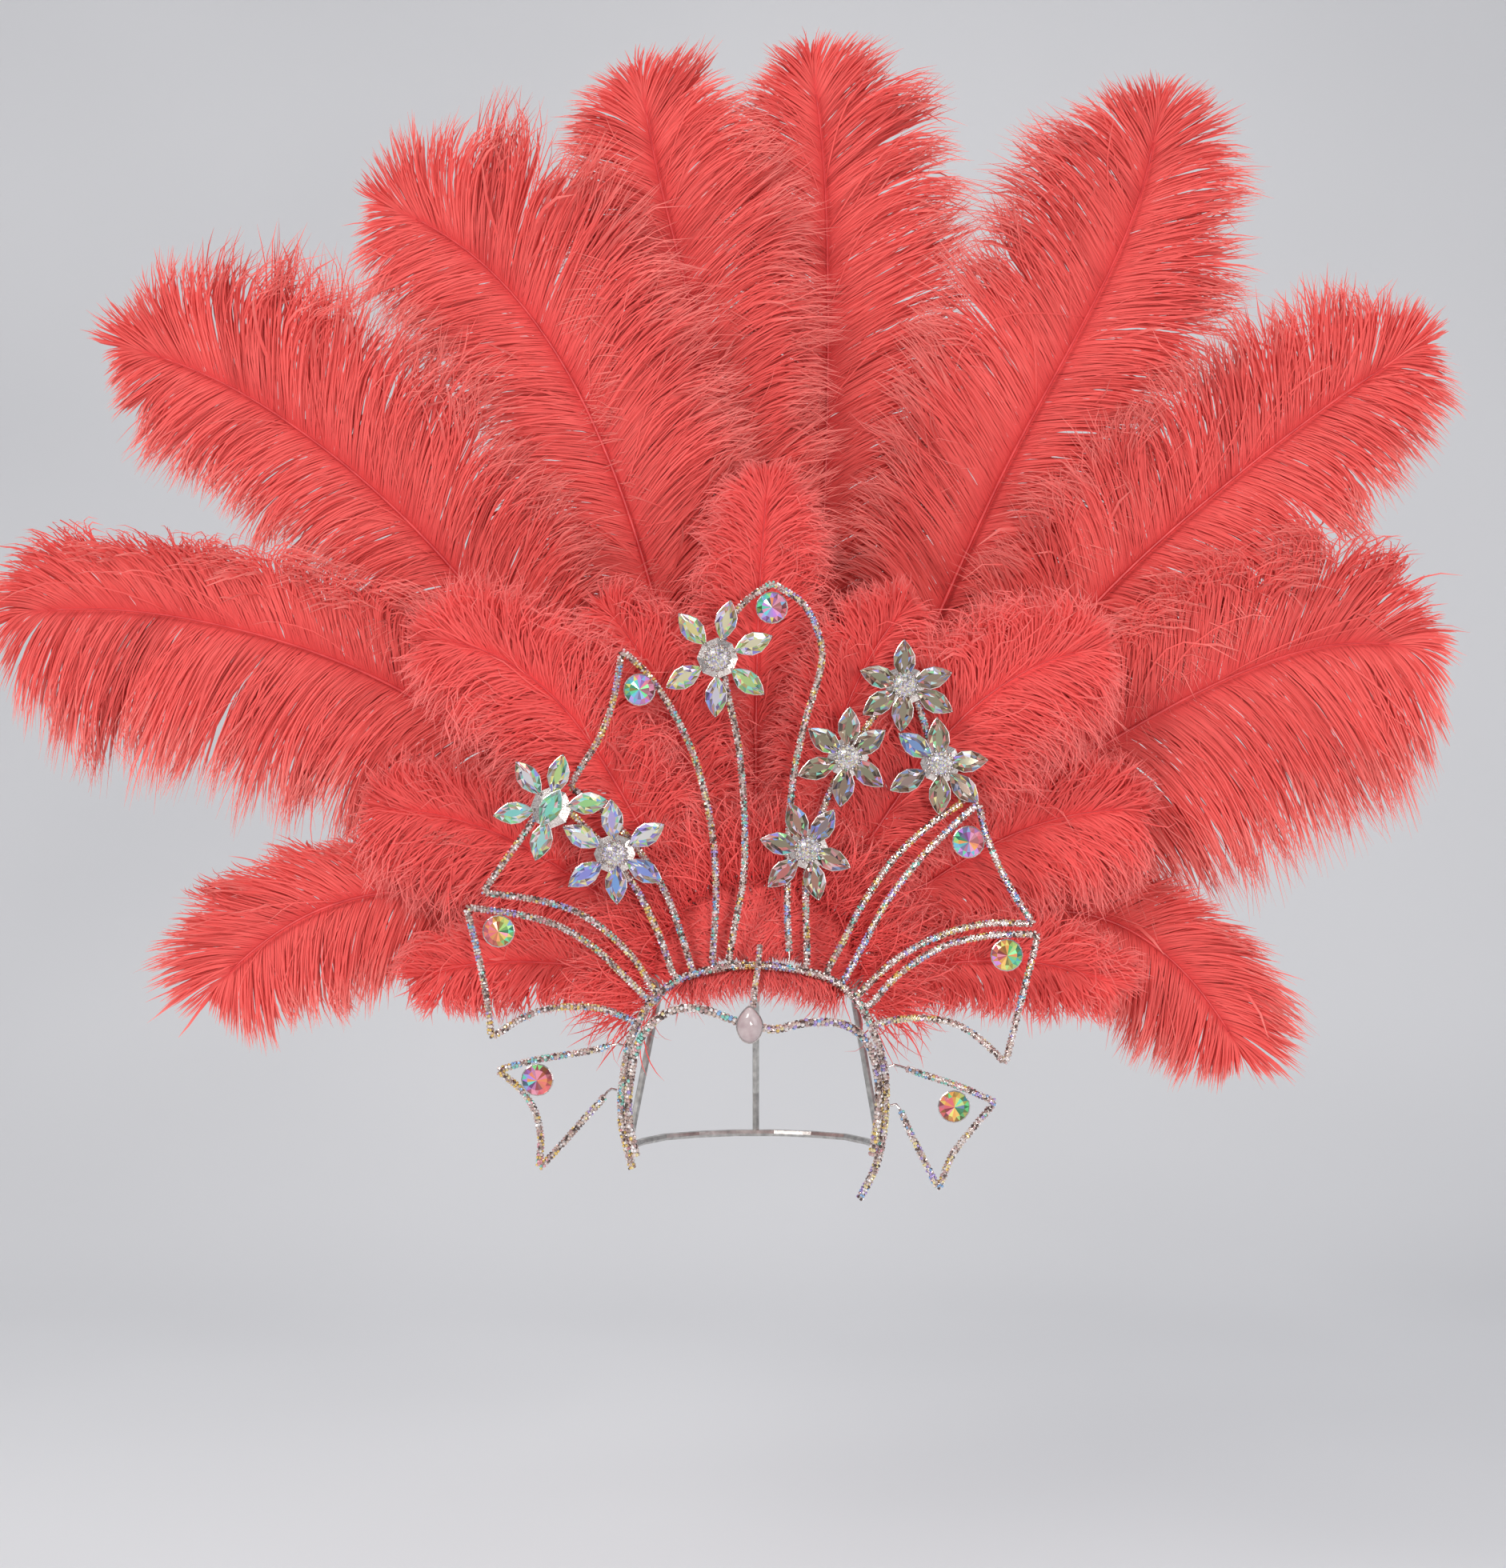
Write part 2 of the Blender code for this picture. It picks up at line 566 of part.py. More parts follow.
def add_drop(at, collection):
    """Domed pear stone in a thin rim, its back at a place."""
    levels = ((0.90, 0.0), (1.0, 0.22 * DROP_HEIGHT), (0.90, 0.6 * DROP_HEIGHT), (0.45, DROP_HEIGHT))
    mesh = turned_copy(stone_mesh(pear_outline(), levels), 0.0, (0.0, 0.0, 0.0))
    drop = add_object("brow_drop", mesh, collection, "milky_stone")
    drop.location = at
    return drop


# Plumes


def bar_point(degrees, y):
    angle = math.radians(degrees)
    return np.array([BAR_RADIUS * math.cos(angle), y, HUB_HEIGHT + BAR_RADIUS * math.sin(angle)])


def plume_depth(x, z, bar_y, layer_y):
    """y at (x, z): at the bar near the hub, then in the plume's layer, and forward in a shallow bowl."""
    from_hub = np.hypot(x, z - HUB_HEIGHT)
    turn_start = BAR_RADIUS + LAYER_START
    into_layer = smooth_step(turn_start, turn_start + LAYER_RUN, from_hub)
    out = np.maximum(0.0, (from_hub - BOWL_START) / (BOWL_REACH - BOWL_START))
    return bar_y + (layer_y - bar_y) * into_layer - BOWL_DEPTH * out**2


def quill_curve(plume, bar_y):
    """(x, z) of a quill from socket to tip, its heading at each point, and the share of its length."""
    share = np.linspace(0.0, 1.0, QUILL_POINTS)
    headings = plume["headings"]
    heading = np.interp(share, np.linspace(0.0, 1.0, len(headings)), headings)
    window = np.ones(QUILL_BLUR) / QUILL_BLUR
    heading = np.radians(np.convolve(np.pad(heading, QUILL_BLUR // 2, "edge"), window, "valid"))
    step = plume["length"] * MM / (QUILL_POINTS - 1)
    start = bar_point(plume["socket"], bar_y)
    middle = (heading[1:] + heading[:-1]) / 2
    x = start[0] + np.r_[0.0, np.cumsum(np.cos(middle))] * step
    z = start[2] + np.r_[0.0, np.cumsum(np.sin(middle))] * step
    return np.column_stack([x, z]), heading, share


def vane_values(along):
    """(width share, sweep in radians) of a vane at a share of the plume's length."""
    places = [row["along"] for row in VANE_SHAPE]
    width = np.interp(along, places, [row["width"] for row in VANE_SHAPE])
    sweep = np.interp(along, places, [row["sweep"] for row in VANE_SHAPE])
    return width, math.radians(sweep)


def add_plume(plume, bar_y, layer_y, cup, rows, collection, finish):
    """Lobed sheet along a bent quill, thick at the quill and thin at the ends of its locks."""
    points, heading, share = quill_curve(plume, bar_y)
    in_socket = SOCKET_LENGTH / (plume["length"] * MM)
    places = [0.0, in_socket, (in_socket + BARE_STEM) / 2, *np.linspace(BARE_STEM, 1.0, rows)]
    vertices = []
    weights = []
    for row, along in enumerate(places):
        quill = [np.interp(along, share, axis) for axis in points.T]
        angle = float(np.interp(along, share, heading))
        width, sweep = vane_values(along)
        lock = LOCK_NOTCH if row % 2 and along < 1.0 else 1.0
        for side, barb_length in ((1, plume["left"]), (0, 0.0), (-1, plume["right"])):
            barb = barb_length * MM * width * lock
            direction = angle + side * (sweep if width else math.pi / 2)
            reach = max(barb, abs(side) * STEM_WIDTH / 2)
            x = quill[0] + reach * math.cos(direction)
            z = quill[1] + reach * math.sin(direction) - plume["droop"] * barb
            y = plume_depth(x, z, bar_y, layer_y) - cup * abs(side) * width * lock
            vertices.append((x, y, z))
            thin = abs(side) * min(1.0, width * 4)
            weights.append(1.0 - thin * (1.0 - EDGE_THICKNESS / PLUME_THICKNESS))
    faces = []
    for row in range(len(places) - 1):
        for column in range(2):
            first = row * 3 + column
            faces.append((first, first + 1, first + 4, first + 3))
    mesh = bpy.data.meshes.new(plume["name"])
    mesh.from_pydata(vertices, [], faces)
    body = add_object(plume["name"], mesh, collection, finish)
    group = body.vertex_groups.new(name="thickness")
    for index, weight in enumerate(weights):
        group.add([index], weight, "REPLACE")
    solid = body.modifiers.new("thickness", "SOLIDIFY")
    solid.thickness = PLUME_THICKNESS
    solid.offset = 0.0
    solid.vertex_group = group.name
    mesh.shade_smooth()
    return body


# Back frame


def wire_mesh(points, diameter):
    """Closed six-sided tube along points, as a mesh."""
    shape = bmesh.new()
    points = [Vector(point) for point in points]
    rings = []
    side = None
    for index, point in enumerate(points):
        before = points[max(index - 1, 0)]
        after = points[min(index + 1, len(points) - 1)]
        tangent = (after - before).normalized()
        if side is None:
            side = tangent.orthogonal().normalized()
        side = (side - tangent * side.dot(tangent)).normalized()
        up = tangent.cross(side)
        ring = []
        for corner in range(WIRE_SIDES):
            angle = 2 * math.pi * corner / WIRE_SIDES
            offset = (side * math.cos(angle) + up * math.sin(angle)) * diameter / 2
            ring.append(shape.verts.new(point + offset))
        rings.append(ring)
    shape.faces.new(rings[0][::-1])
    shape.faces.new(rings[-1])
    for lower, upper in zip(rings, rings[1:]):
        for corner in range(WIRE_SIDES):
            after = (corner + 1) % WIRE_SIDES
            shape.faces.new((lower[corner], lower[after], upper[after], upper[corner]))
    bmesh.ops.recalc_face_normals(shape, faces=shape.faces)
    mesh = bpy.data.meshes.new("wire")
    shape.to_mesh(mesh)
    shape.free()
    return mesh


def arch_rear(side, z):
    """Point just behind the arch at height z on one side, or at its top where side is 0."""
    if side == 0:
        axis_point = ARCH_CURVE[np.argmax(ARCH_CURVE[:, 2])]
    else:
        same_side = ARCH_CURVE[ARCH_CURVE[:, 0] * side > 0]
        axis_point = same_side[np.argmin(np.abs(same_side[:, 2] - z))]
    return axis_point + np.array([0.0, ARCH_ROPE / 2 + GAP, 0.0])


def socket_meshes(plume, bar_y):
    """(outer tube, bore) of a plume's socket, along the start of its quill."""
    start = bar_point(plume["socket"], bar_y)
    angle = math.radians(plume["headings"][0])
    along = np.array([math.cos(angle), 0.0, math.sin(angle)])
    foot = start - along * SOCKET_LENGTH * SOCKET_BELOW
    mouth = start + along * SOCKET_LENGTH * (1.0 - SOCKET_BELOW)
    bore = STEM_WIDTH * math.sqrt(2.0) + 2 * STEM_CLEARANCE
    bottom = start - along * GAP
    beyond = mouth + along * SOCKET_LENGTH
    return wire_mesh([foot, mouth], SOCKET_DIAMETER), wire_mesh([bottom, beyond], bore)


def add_back_frame(collection, cutters):
    """Nape band, crown strap, two plume bars with their ties, and the sockets, as one solid."""
    band = [(x * MM, y * MM, -NAPE_DROP) for x, y in NAPE_ROUTE]
    nape = np.vstack([arch_rear(-1, -NAPE_DROP), band, arch_rear(1, -NAPE_DROP)])
    over_crown = [(0.0, y * MM, z * MM) for y, z in STRAP_ROUTE]
    strap = np.vstack([arch_rear(0, 0.0), over_crown, band[len(band) // 2]])
    wires = [even_points(dense_curve(nape), BACK_STEP), even_points(dense_curve(strap), BACK_STEP)]
    sweep = np.linspace(BAR_START, BAR_END, 12)
    for bar_y in (REAR_BAR_Y, FRONT_BAR_Y):
        wires.append([bar_point(degrees, bar_y) for degrees in sweep])
    middle_y = (REAR_BAR_Y + FRONT_BAR_Y) / 2
    overlap = BACK_WIRE / 4
    for degrees in (BAR_START, TIE_ANGLE, BAR_END):
        wires.append([bar_point(degrees, FRONT_BAR_Y - overlap), bar_point(degrees, REAR_BAR_Y + overlap)])
    tie = bar_point(TIE_ANGLE, middle_y)
    strap_curve = dense_curve(strap)
    under_tie = strap_curve[np.argmin(np.abs(strap_curve[:, 1] - middle_y))]
    wires.append([tie, under_tie])
    for degrees, side in ((BAR_START, 1), (BAR_END, -1)):
        nape_curve = wires[0][wires[0][:, 0] * side > 0]
        below = nape_curve[np.argmin(np.abs(nape_curve[:, 1] - middle_y))]
        wires.append([bar_point(degrees, middle_y), below])
    frame = add_object("back_frame", wire_mesh(wires[0], BACK_WIRE), collection, "back_wire")
    for wire in wires[1:]:
        boolean(frame, add_object("wire", wire_mesh(wire, BACK_WIRE), cutters), "UNION")
    holders = [(plume, REAR_BAR_Y) for plume in PLUMES] + [(tuft, FRONT_BAR_Y) for tuft in TUFTS]
    outers = []
    bores = []
    for plume, bar_y in holders:
        outer, bore = socket_meshes(plume, bar_y)
        outers.append(outer)
        bores.append(bore)
    boolean(frame, add_object("outers", join_meshes(outers, "outers"), cutters), "UNION")
    boolean(frame, add_object("bores", join_meshes(bores, "bores"), cutters), "DIFFERENCE")
    return frame


def build():
    clear_scene()
    parts = new_collection("showgirl_headdress")
    cutters = new_collection("cutters")
    cutters.hide_render = True

    arch = even_points(ARCH_CURVE, ROPE_STEP * ARCH_ROPE)
    brow = brow_points()
    center = center_points(brow)
    add_tube("crown_arch", arch, ARCH_ROPE, parts, "rhinestone_rope")
    add_tube("brow_strand", brow, ARCH_ROPE, parts, "rhinestone_rope")
    ropes = [(arch, ARCH_ROPE), (brow, ARCH_ROPE)]
    add_tube("center_strand", center, PETAL_ROPE, parts, "rhinestone_rope")

    for name, petal in PETALS.items():
        points = petal_points(petal)
        radii = None
        if petal.get("bare"):
            foot_distance = np.minimum(
                np.linalg.norm(points - points[0], axis=1), np.linalg.norm(points - points[-1], axis=1)
            )
            radii = np.where(foot_distance < BARE_LENGTH, BARE_WIRE / PETAL_ROPE, 1.0)
        add_tube(name, points, PETAL_ROPE, parts, "rhinestone_rope", radii)
        ropes.append((points, PETAL_ROPE))

    axes = [(even_points(points, MM), diameter) for points, diameter in ropes]
    for name, (x, z) in RIVOLIS.items():
        add_rivoli(name, x * MM, z * MM, axes, parts)
    for name, flower in FLOWERS.items():
        add_flower(name, flower, axes, parts)
    lowest_brow = brow[np.argmin(np.abs(brow[:, 0]))]
    in_front = np.array([0.0, ARCH_ROPE / 2 + GAP, 0.0])
    add_drop(lowest_brow - in_front, parts)

    for plume in PLUMES:
        layer_y = REARMOST_LAYER - LAYER_PITCH * plume["layer"]
        add_plume(plume, REAR_BAR_Y, layer_y, PLUME_CUP, PLUME_ROWS, parts, "red_plume")
    for tuft in TUFTS:
        layer_y = TUFT_REAR_LAYER - TUFT_PITCH * tuft["layer"]
        add_plume(tuft, FRONT_BAR_Y, layer_y, TUFT_CUP, TUFT_ROWS, parts, "red_tuft")
    add_back_frame(parts, cutters)


build()
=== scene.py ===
import math

import bpy
import numpy as np
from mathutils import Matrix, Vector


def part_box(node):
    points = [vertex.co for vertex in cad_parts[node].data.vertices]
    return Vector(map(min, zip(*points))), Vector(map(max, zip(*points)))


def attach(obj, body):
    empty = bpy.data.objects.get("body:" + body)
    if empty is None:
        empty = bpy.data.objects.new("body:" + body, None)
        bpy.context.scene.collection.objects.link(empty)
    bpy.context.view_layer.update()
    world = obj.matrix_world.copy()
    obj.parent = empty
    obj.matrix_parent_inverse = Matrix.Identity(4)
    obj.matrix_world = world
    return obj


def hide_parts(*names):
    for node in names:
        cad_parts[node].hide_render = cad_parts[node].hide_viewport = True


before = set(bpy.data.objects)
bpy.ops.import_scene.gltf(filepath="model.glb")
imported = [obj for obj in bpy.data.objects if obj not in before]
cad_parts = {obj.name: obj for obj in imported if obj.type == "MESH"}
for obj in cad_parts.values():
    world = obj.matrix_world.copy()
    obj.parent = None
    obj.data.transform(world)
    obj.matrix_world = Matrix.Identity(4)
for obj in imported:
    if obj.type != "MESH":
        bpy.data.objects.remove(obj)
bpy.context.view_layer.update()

# A showgirl feather headdress. Metres, +Z up, the front faces -Y.
mm = 0.001
bpy.context.scene.view_settings.view_transform = "Standard"


# Mesh and path helpers

def newPiece(name, points, faces, uv, materials, slots=None, smooth=False):
    # a mesh from whole arrays: faces is one array of corners, or several with different corner counts
    groups = faces if isinstance(faces, list) else [faces]
    corners = np.concatenate([group.ravel() for group in groups]).astype(np.int32)
    sizes = np.concatenate([np.full(len(group), group.shape[1]) for group in groups])
    mesh = bpy.data.meshes.new(name)
    mesh.vertices.add(len(points))
    mesh.vertices.foreach_set("co", np.ascontiguousarray(points, np.float32).ravel())
    mesh.loops.add(len(corners))
    mesh.loops.foreach_set("vertex_index", corners)
    mesh.polygons.add(len(sizes))
    mesh.polygons.foreach_set("loop_start", np.r_[0, np.cumsum(sizes)[:-1]].astype(np.int32))
    if slots is not None:
        mesh.polygons.foreach_set("material_index", slots.astype(np.int32))
    mesh.polygons.foreach_set("use_smooth", np.full(len(sizes), smooth))
    layer = mesh.uv_layers.new(name="OFBake")
    layer.data.foreach_set("uv", np.ascontiguousarray(uv[corners], np.float32).ravel())
    mesh.update(calc_edges=True)
    for material in materials:
        mesh.materials.append(material)
    piece = bpy.data.objects.new(name, mesh)
    bpy.context.scene.collection.objects.link(piece)
    return piece


def joined(parts):
    # several (points, [faces by corner count], uv, slot) put one after the other as one set of arrays
    points = np.concatenate([part[0] for part in parts])
    uv = np.concatenate([part[2] for part in parts])
    starts = np.r_[0, np.cumsum([len(part[0]) for part in parts])]
    byCorners = {}
    for start, part in zip(starts, parts):
        for group in part[1]:
            byCorners.setdefault(group.shape[1], []).append((group + start, part[3]))
    faces = []
    slots = []
    for groups in byCorners.values():
        faces.append(np.concatenate([group for group, slot in groups]))
        slots.append(np.concatenate([np.full(len(group), slot) for group, slot in groups]))
    return points, faces, uv, np.concatenate(slots)


def smoothStep(low, high, value):
    # 3s^2 - 2s^3 of the share s that value has of the way from low to high
    share = np.clip((np.asarray(value, float) - low) / (high - low), 0.0, 1.0)
    return share * share * (3.0 - 2.0 * share)


def denseCurve(points, steps=24):
    # Catmull-Rom curve through the chosen points
    points = np.asarray(points, float)
    padded = np.vstack([2 * points[0] - points[1], points, 2 * points[-1] - points[-2]])
    share = np.linspace(0.0, 1.0, steps, endpoint=False)[:, None]
    pieces = []
    for a, b, c, d in zip(padded, padded[1:], padded[2:], padded[3:]):
        cubic = (3 * b - 3 * c + d - a) * share**3
        pieces.append(0.5 * (2 * b + (c - a) * share + (2 * a - 5 * b + 4 * c - d) * share**2 + cubic))
    return np.vstack([*pieces, points[-1:]])


def lengthsAlong(curve):
    # sum of the steps up to each point
    return np.r_[0.0, np.cumsum(np.linalg.norm(np.diff(curve, axis=0), axis=1))]


def evenPoints(curve, spacing):
    # the same curve with points at equal steps
    along = lengthsAlong(curve)
    places = np.linspace(0.0, along[-1], max(2, round(along[-1] / spacing)) + 1)
    return np.column_stack([np.interp(places, along, axis) for axis in curve.T])


def trimmed(curve, start, end):
    # the curve without its first and last stretch
    along = lengthsAlong(curve)
    inside = (along > start) & (along < along[-1] - end)
    ends = [[np.interp(place, along, axis) for axis in curve.T] for place in (start, along[-1] - end)]
    return np.vstack([ends[0], curve[inside], ends[1]])


def unit(vectors):
    # vectors over their own lengths
    return vectors / (np.linalg.norm(vectors, axis=-1, keepdims=True) + 1e-12)


def pathFrames(path):
    # tangent by central differences, side = tangent x Y, up = side x tangent
    tangent = unit(np.gradient(path, axis=0))
    side = unit(np.cross(tangent, [0.0, 1.0, 0.0]))
    return tangent, side, np.cross(side, tangent)


def roundAngles(count):
    # equal steps of a full turn
    return np.linspace(0.0, 2 * np.pi, count, endpoint=False)


def ringQuads(rows, count):
    # faces between neighbouring rings that each have count points
    row = np.arange(rows - 1)[:, None] * count
    column = np.arange(count)[None, :]
    after = (column + 1) % count
    corners = (row + column, row + column + count, row + after + count, row + after)
    return np.stack(corners, axis=-1).reshape(-1, 4)


def tubeArrays(path, radius, sides, tone):
    # circle of the given radius, one for each point or one for all, carried along the path, ends closed
    side, up = pathFrames(path)[1:]
    angle = roundAngles(sides)
    radius = np.broadcast_to(radius, len(path))[:, None, None]
    ring = side[:, None] * np.cos(angle)[None, :, None] + up[:, None] * np.sin(angle)[None, :, None]
    points = (path[:, None] + ring * radius).reshape(-1, 3)
    first = np.arange(sides)[None, :]
    last = first[:, ::-1] + (len(path) - 1) * sides
    along = np.repeat(np.linspace(0.0, 1.0, len(path)), sides)
    uv = np.column_stack([along, tone + 0.004 * np.tile(np.cos(angle), len(path))])
    return points, [ringQuads(len(path), sides), first, last], uv


# Materials

def newMaterial(name, roughness, metallic, **fixed):
    # fixed values go to the shader's sockets, named with _ for a space
    material = bpy.data.materials.new(name)
    material.use_nodes = True
    tree = material.node_tree
    shader = tree.nodes["Principled BSDF"]
    shader.inputs["Roughness"].default_value = roughness
    shader.inputs["Metallic"].default_value = metallic
    for socket, value in fixed.items():
        shader.inputs[socket.replace("_", " ")].default_value = value
    return material, tree, shader


def addNode(tree, kind, **values):
    # values are settings of the node or of its sockets
    node = tree.nodes.new(kind)
    for key, value in values.items():
        if hasattr(node, key):
            setattr(node, key, value)
        else:
            node.inputs[key].default_value = value
    return node


def addRamp(tree, factor, stops, interpolation="LINEAR"):
    # colour ramp with (place, colour) stops
    ramp = addNode(tree, "ShaderNodeValToRGB")
    ramp.color_ramp.interpolation = interpolation
    elements = ramp.color_ramp.elements
    while len(elements) < len(stops):
        elements.new(0.5)
    for element, (place, color) in zip(elements, stops):
        element.position = place
        element.color = (*color, 1.0)
    tree.links.new(factor, ramp.inputs["Fac"])
    return ramp.outputs["Color"]


def multiplied(tree, first, second):
    mix = addNode(tree, "ShaderNodeMix", data_type="RGBA", blend_type="MULTIPLY")
    mix.inputs[0].default_value = 1.0
    tree.links.new(first, mix.inputs[6])
    tree.links.new(second, mix.inputs[7])
    return mix.outputs[2]


def pieceUv(tree):
    # the two values of the piece's own UV map
    uvMap = addNode(tree, "ShaderNodeUVMap", uv_map="OFBake")
    split = addNode(tree, "ShaderNodeSeparateXYZ")
    tree.links.new(uvMap.outputs["UV"], split.inputs[0])
    return split.outputs[0], split.outputs[1]


def addBump(tree, shader, height, distance, strength):
    bump = addNode(tree, "ShaderNodeBump", Distance=distance, Strength=strength)
    tree.links.new(height, bump.inputs["Height"])
    tree.links.new(bump.outputs["Normal"], shader.inputs["Normal"])


def objectNoise(tree, scale, detail):
    place = addNode(tree, "ShaderNodeTexCoord")
    noise = addNode(tree, "ShaderNodeTexNoise", Scale=scale, Detail=detail)
    tree.links.new(place.outputs["Object"], noise.inputs["Vector"])
    return noise.outputs["Fac"]


# root is darker as painted shade near the quill, tip is paler as a painted highlight, dark is the colour at
# the lowest tone
plumeLook = dict(
    root=(0.82, 0.048, 0.048), middle=(0.98, 0.126, 0.112), tip=(1.0, 0.30, 0.262), dark=(0.62, 0.36, 0.36))
tuftLook = dict(
    root=(0.98, 0.060, 0.060), middle=(1.0, 0.118, 0.108), tip=(1.0, 0.270, 0.245), dark=(0.72, 0.46, 0.46))
white = (1.0, 1.0, 1.0)


def featherMaterial(name, look):
    # U runs from the root of a barb to its tip, V is the tone of the barb. Along U the darker root is painted
    # shade near the quill and the paler tip a painted highlight
    material, tree, shader = newMaterial(
        name, 0.68, 0.0, Sheen_Weight=0.30, Sheen_Tint=(1.0, 0.62, 0.58, 1.0))
    along, tone = pieceUv(tree)
    base = addRamp(tree, along, [
        (0.0, look["root"]), (0.22, look["middle"]), (0.7, look["middle"]), (1.0, look["tip"])])
    # a low tone darkens the barb: painted shade for the layer behind and for the down under the arch, and
    # tone that differs at random otherwise
    shade = addRamp(tree, tone, [(0.0, look["dark"]), (0.5, (0.94, 0.90, 0.90)), (1.0, white)])
    clouds = addRamp(tree, objectNoise(tree, 14.0, 3.0), [(0.3, (0.92, 0.84, 0.84)), (0.65, white)])
    color = multiplied(tree, multiplied(tree, base, shade), clouds)
    tree.links.new(color, shader.inputs["Base Color"])
    return material


def noiseMaterial(name, roughness, metallic, noise, stops, bump=None, **fixed):
    # colours by object noise of (scale, detail), which may also raise a bump of (distance, strength)
    material, tree, shader = newMaterial(name, roughness, metallic, **fixed)
    height = objectNoise(tree, *noise)
    tree.links.new(addRamp(tree, height, stops), shader.inputs["Base Color"])
    if bump:
        addBump(tree, shader, height, *bump)
    return material


def stoneMaterial(name, roughness, tints, shades, interpolation="LINEAR", **fixed):
    # each stone or facet takes a tint from its V and a painted brightness from its U, which stands in for
    # reflections
    material, tree, shader = newMaterial(name, roughness, 0.25, **fixed)
    across, tone = pieceUv(tree)
    tint = addRamp(tree, tone, tints, interpolation)
    tree.links.new(multiplied(tree, tint, addRamp(tree, across, shades)), shader.inputs["Base Color"])
    return material


# Champagne and dusky pink up to 0.64, and coloured sparks above. The near-black at 0 is a painted dark
# reflection and the near-white at 0.54 a painted glint
ropeTints = [
    (0.00, (0.13, 0.08, 0.07)), (0.09, (0.44, 0.31, 0.27)), (0.21, (0.72, 0.58, 0.50)),
    (0.33, (0.66, 0.45, 0.43)), (0.43, (0.88, 0.76, 0.70)), (0.54, (1.0, 0.97, 0.96)),
    (0.64, (0.92, 0.66, 0.18)), (0.72, (0.95, 0.84, 0.44)), (0.79, (0.50, 0.38, 0.82)),
    (0.86, (0.30, 0.56, 0.90)), (0.91, (0.30, 0.78, 0.66)), (0.96, (0.90, 0.44, 0.50))]
flowerTints = [
    (0.00, (0.84, 0.90, 0.95)), (0.10, (0.24, 0.80, 0.74)), (0.20, (0.36, 0.84, 0.34)),
    (0.30, (0.98, 0.88, 0.30)), (0.40, (0.92, 0.93, 0.95)), (0.50, (0.42, 0.30, 0.92)),
    (0.60, (0.26, 0.50, 0.98)), (0.70, (0.48, 0.33, 0.26)), (0.80, (0.42, 0.46, 0.30)),
    (0.90, (0.94, 0.28, 0.28)), (1.00, (0.84, 0.90, 0.95))]
roundTints = [
    (0.00, (0.98, 0.42, 0.56)), (0.14, (0.62, 0.26, 0.92)), (0.28, (0.16, 0.70, 0.86)),
    (0.42, (0.16, 0.84, 0.30)), (0.56, (0.96, 0.88, 0.22)), (0.70, (1.00, 0.44, 0.12)),
    (0.84, (0.92, 0.16, 0.20)), (1.00, (0.98, 0.42, 0.56))]
# painted brightness of a facet, from near black to white: painted reflections
facetShades = [(0.0, (0.07, 0.05, 0.05)), (0.45, (0.42, 0.36, 0.34)), (1.0, white)]

feather = featherMaterial("dyedOstrich", plumeLook)
fluff = featherMaterial("dyedFluff", tuftLook)
quill = noiseMaterial(
    "dyedQuill", 0.30, 0.0, (60.0, 2.0), [(0.3, (0.56, 0.026, 0.030)), (0.7, (0.84, 0.070, 0.070))])
# U is painted light across each stone, V its tint
rhinestone = stoneMaterial(
    "smallRhinestones", 0.12, ropeTints, [(0.0, (0.72, 0.66, 0.66)), (1.0, white)], "CONSTANT",
    Coat_Weight=0.9, Coat_Roughness=0.06)
crystal = stoneMaterial("coatedCrystal", 0.05, flowerTints, facetShades, Coat_Weight=0.7, Coat_Roughness=0.03)
roundCrystal = stoneMaterial(
    "coatedRoundCrystal", 0.05, roundTints, facetShades, Coat_Weight=0.5, Coat_Roughness=0.03)
silver = noiseMaterial(
    "silverSetting", 0.24, 1.0, (900.0, 2.0), [(0.3, (0.42, 0.36, 0.34)), (0.7, (0.78, 0.72, 0.69))],
    (0.0002, 0.4))
wire = noiseMaterial(
    "plainWire", 0.36, 1.0, (220.0, 4.0), [(0.25, (0.34, 0.33, 0.32)), (0.75, (0.66, 0.65, 0.62))],
    (0.0004, 0.3))
milky = noiseMaterial(
    "milkyStone", 0.10, 0.0, (130.0, 3.0), [(0.3, (0.42, 0.31, 0.32)), (0.7, (0.60, 0.50, 0.50))],
    Coat_Weight=0.6)
print("materials made")


# Feathers

holder = dict(hub=-5 * mm, radius=70 * mm, rearBar=60 * mm, frontBar=36 * mm)
layers = dict(rear=150 * mm, pitch=16 * mm, tuftRear=56 * mm, tuftPitch=11 * mm, start=15 * mm, run=65 * mm)
bowl = dict(start=200 * mm, reach=650 * mm, depth=85 * mm)

# Share of the length, share of the barb length, degrees between barb and quill
tuftShape = np.array([
    (0.00, 0.30, 62), (0.10, 0.62, 58), (0.30, 0.86, 55), (0.60, 1.00, 56), (0.80, 0.95, 52),
    (0.92, 0.74, 46), (0.98, 0.50, 30), (1.00, 0.35, 4)])
plumeShape = np.array([
    (0.00, 0.00, 42), (0.14, 0.00, 44), (0.19, 0.30, 48), (0.26, 0.58, 52), (0.40, 0.88, 58),
    (0.60, 1.00, 62), (0.80, 0.98, 61), (0.90, 0.83, 58), (0.95, 0.63, 51), (0.985, 0.42, 34),
    (1.00, 0.32, 4)])

plumeStyle = dict(
    shape=plumeShape, first=0.145,
    barbsPerMm=3.7, segments=7, width=1.0 * mm, lock=15 * mm, gather=0.36, curl=42, waves=9,
    forward=12 * mm, loose=4.0 * mm, cup=9 * mm, stray=0.07, messy=0.05, quill=1.9 * mm,
    thickness=5 * mm, under=0.26)
tuftStyle = dict(
    shape=tuftShape, first=0.03,
    barbsPerMm=4.4, segments=6, width=1.0 * mm, lock=11 * mm, gather=0.40, curl=85, waves=26,
    forward=9 * mm, loose=6.0 * mm, cup=5 * mm, stray=0.22, messy=0.15, quill=1.3 * mm,
    thickness=7 * mm, under=0.20)

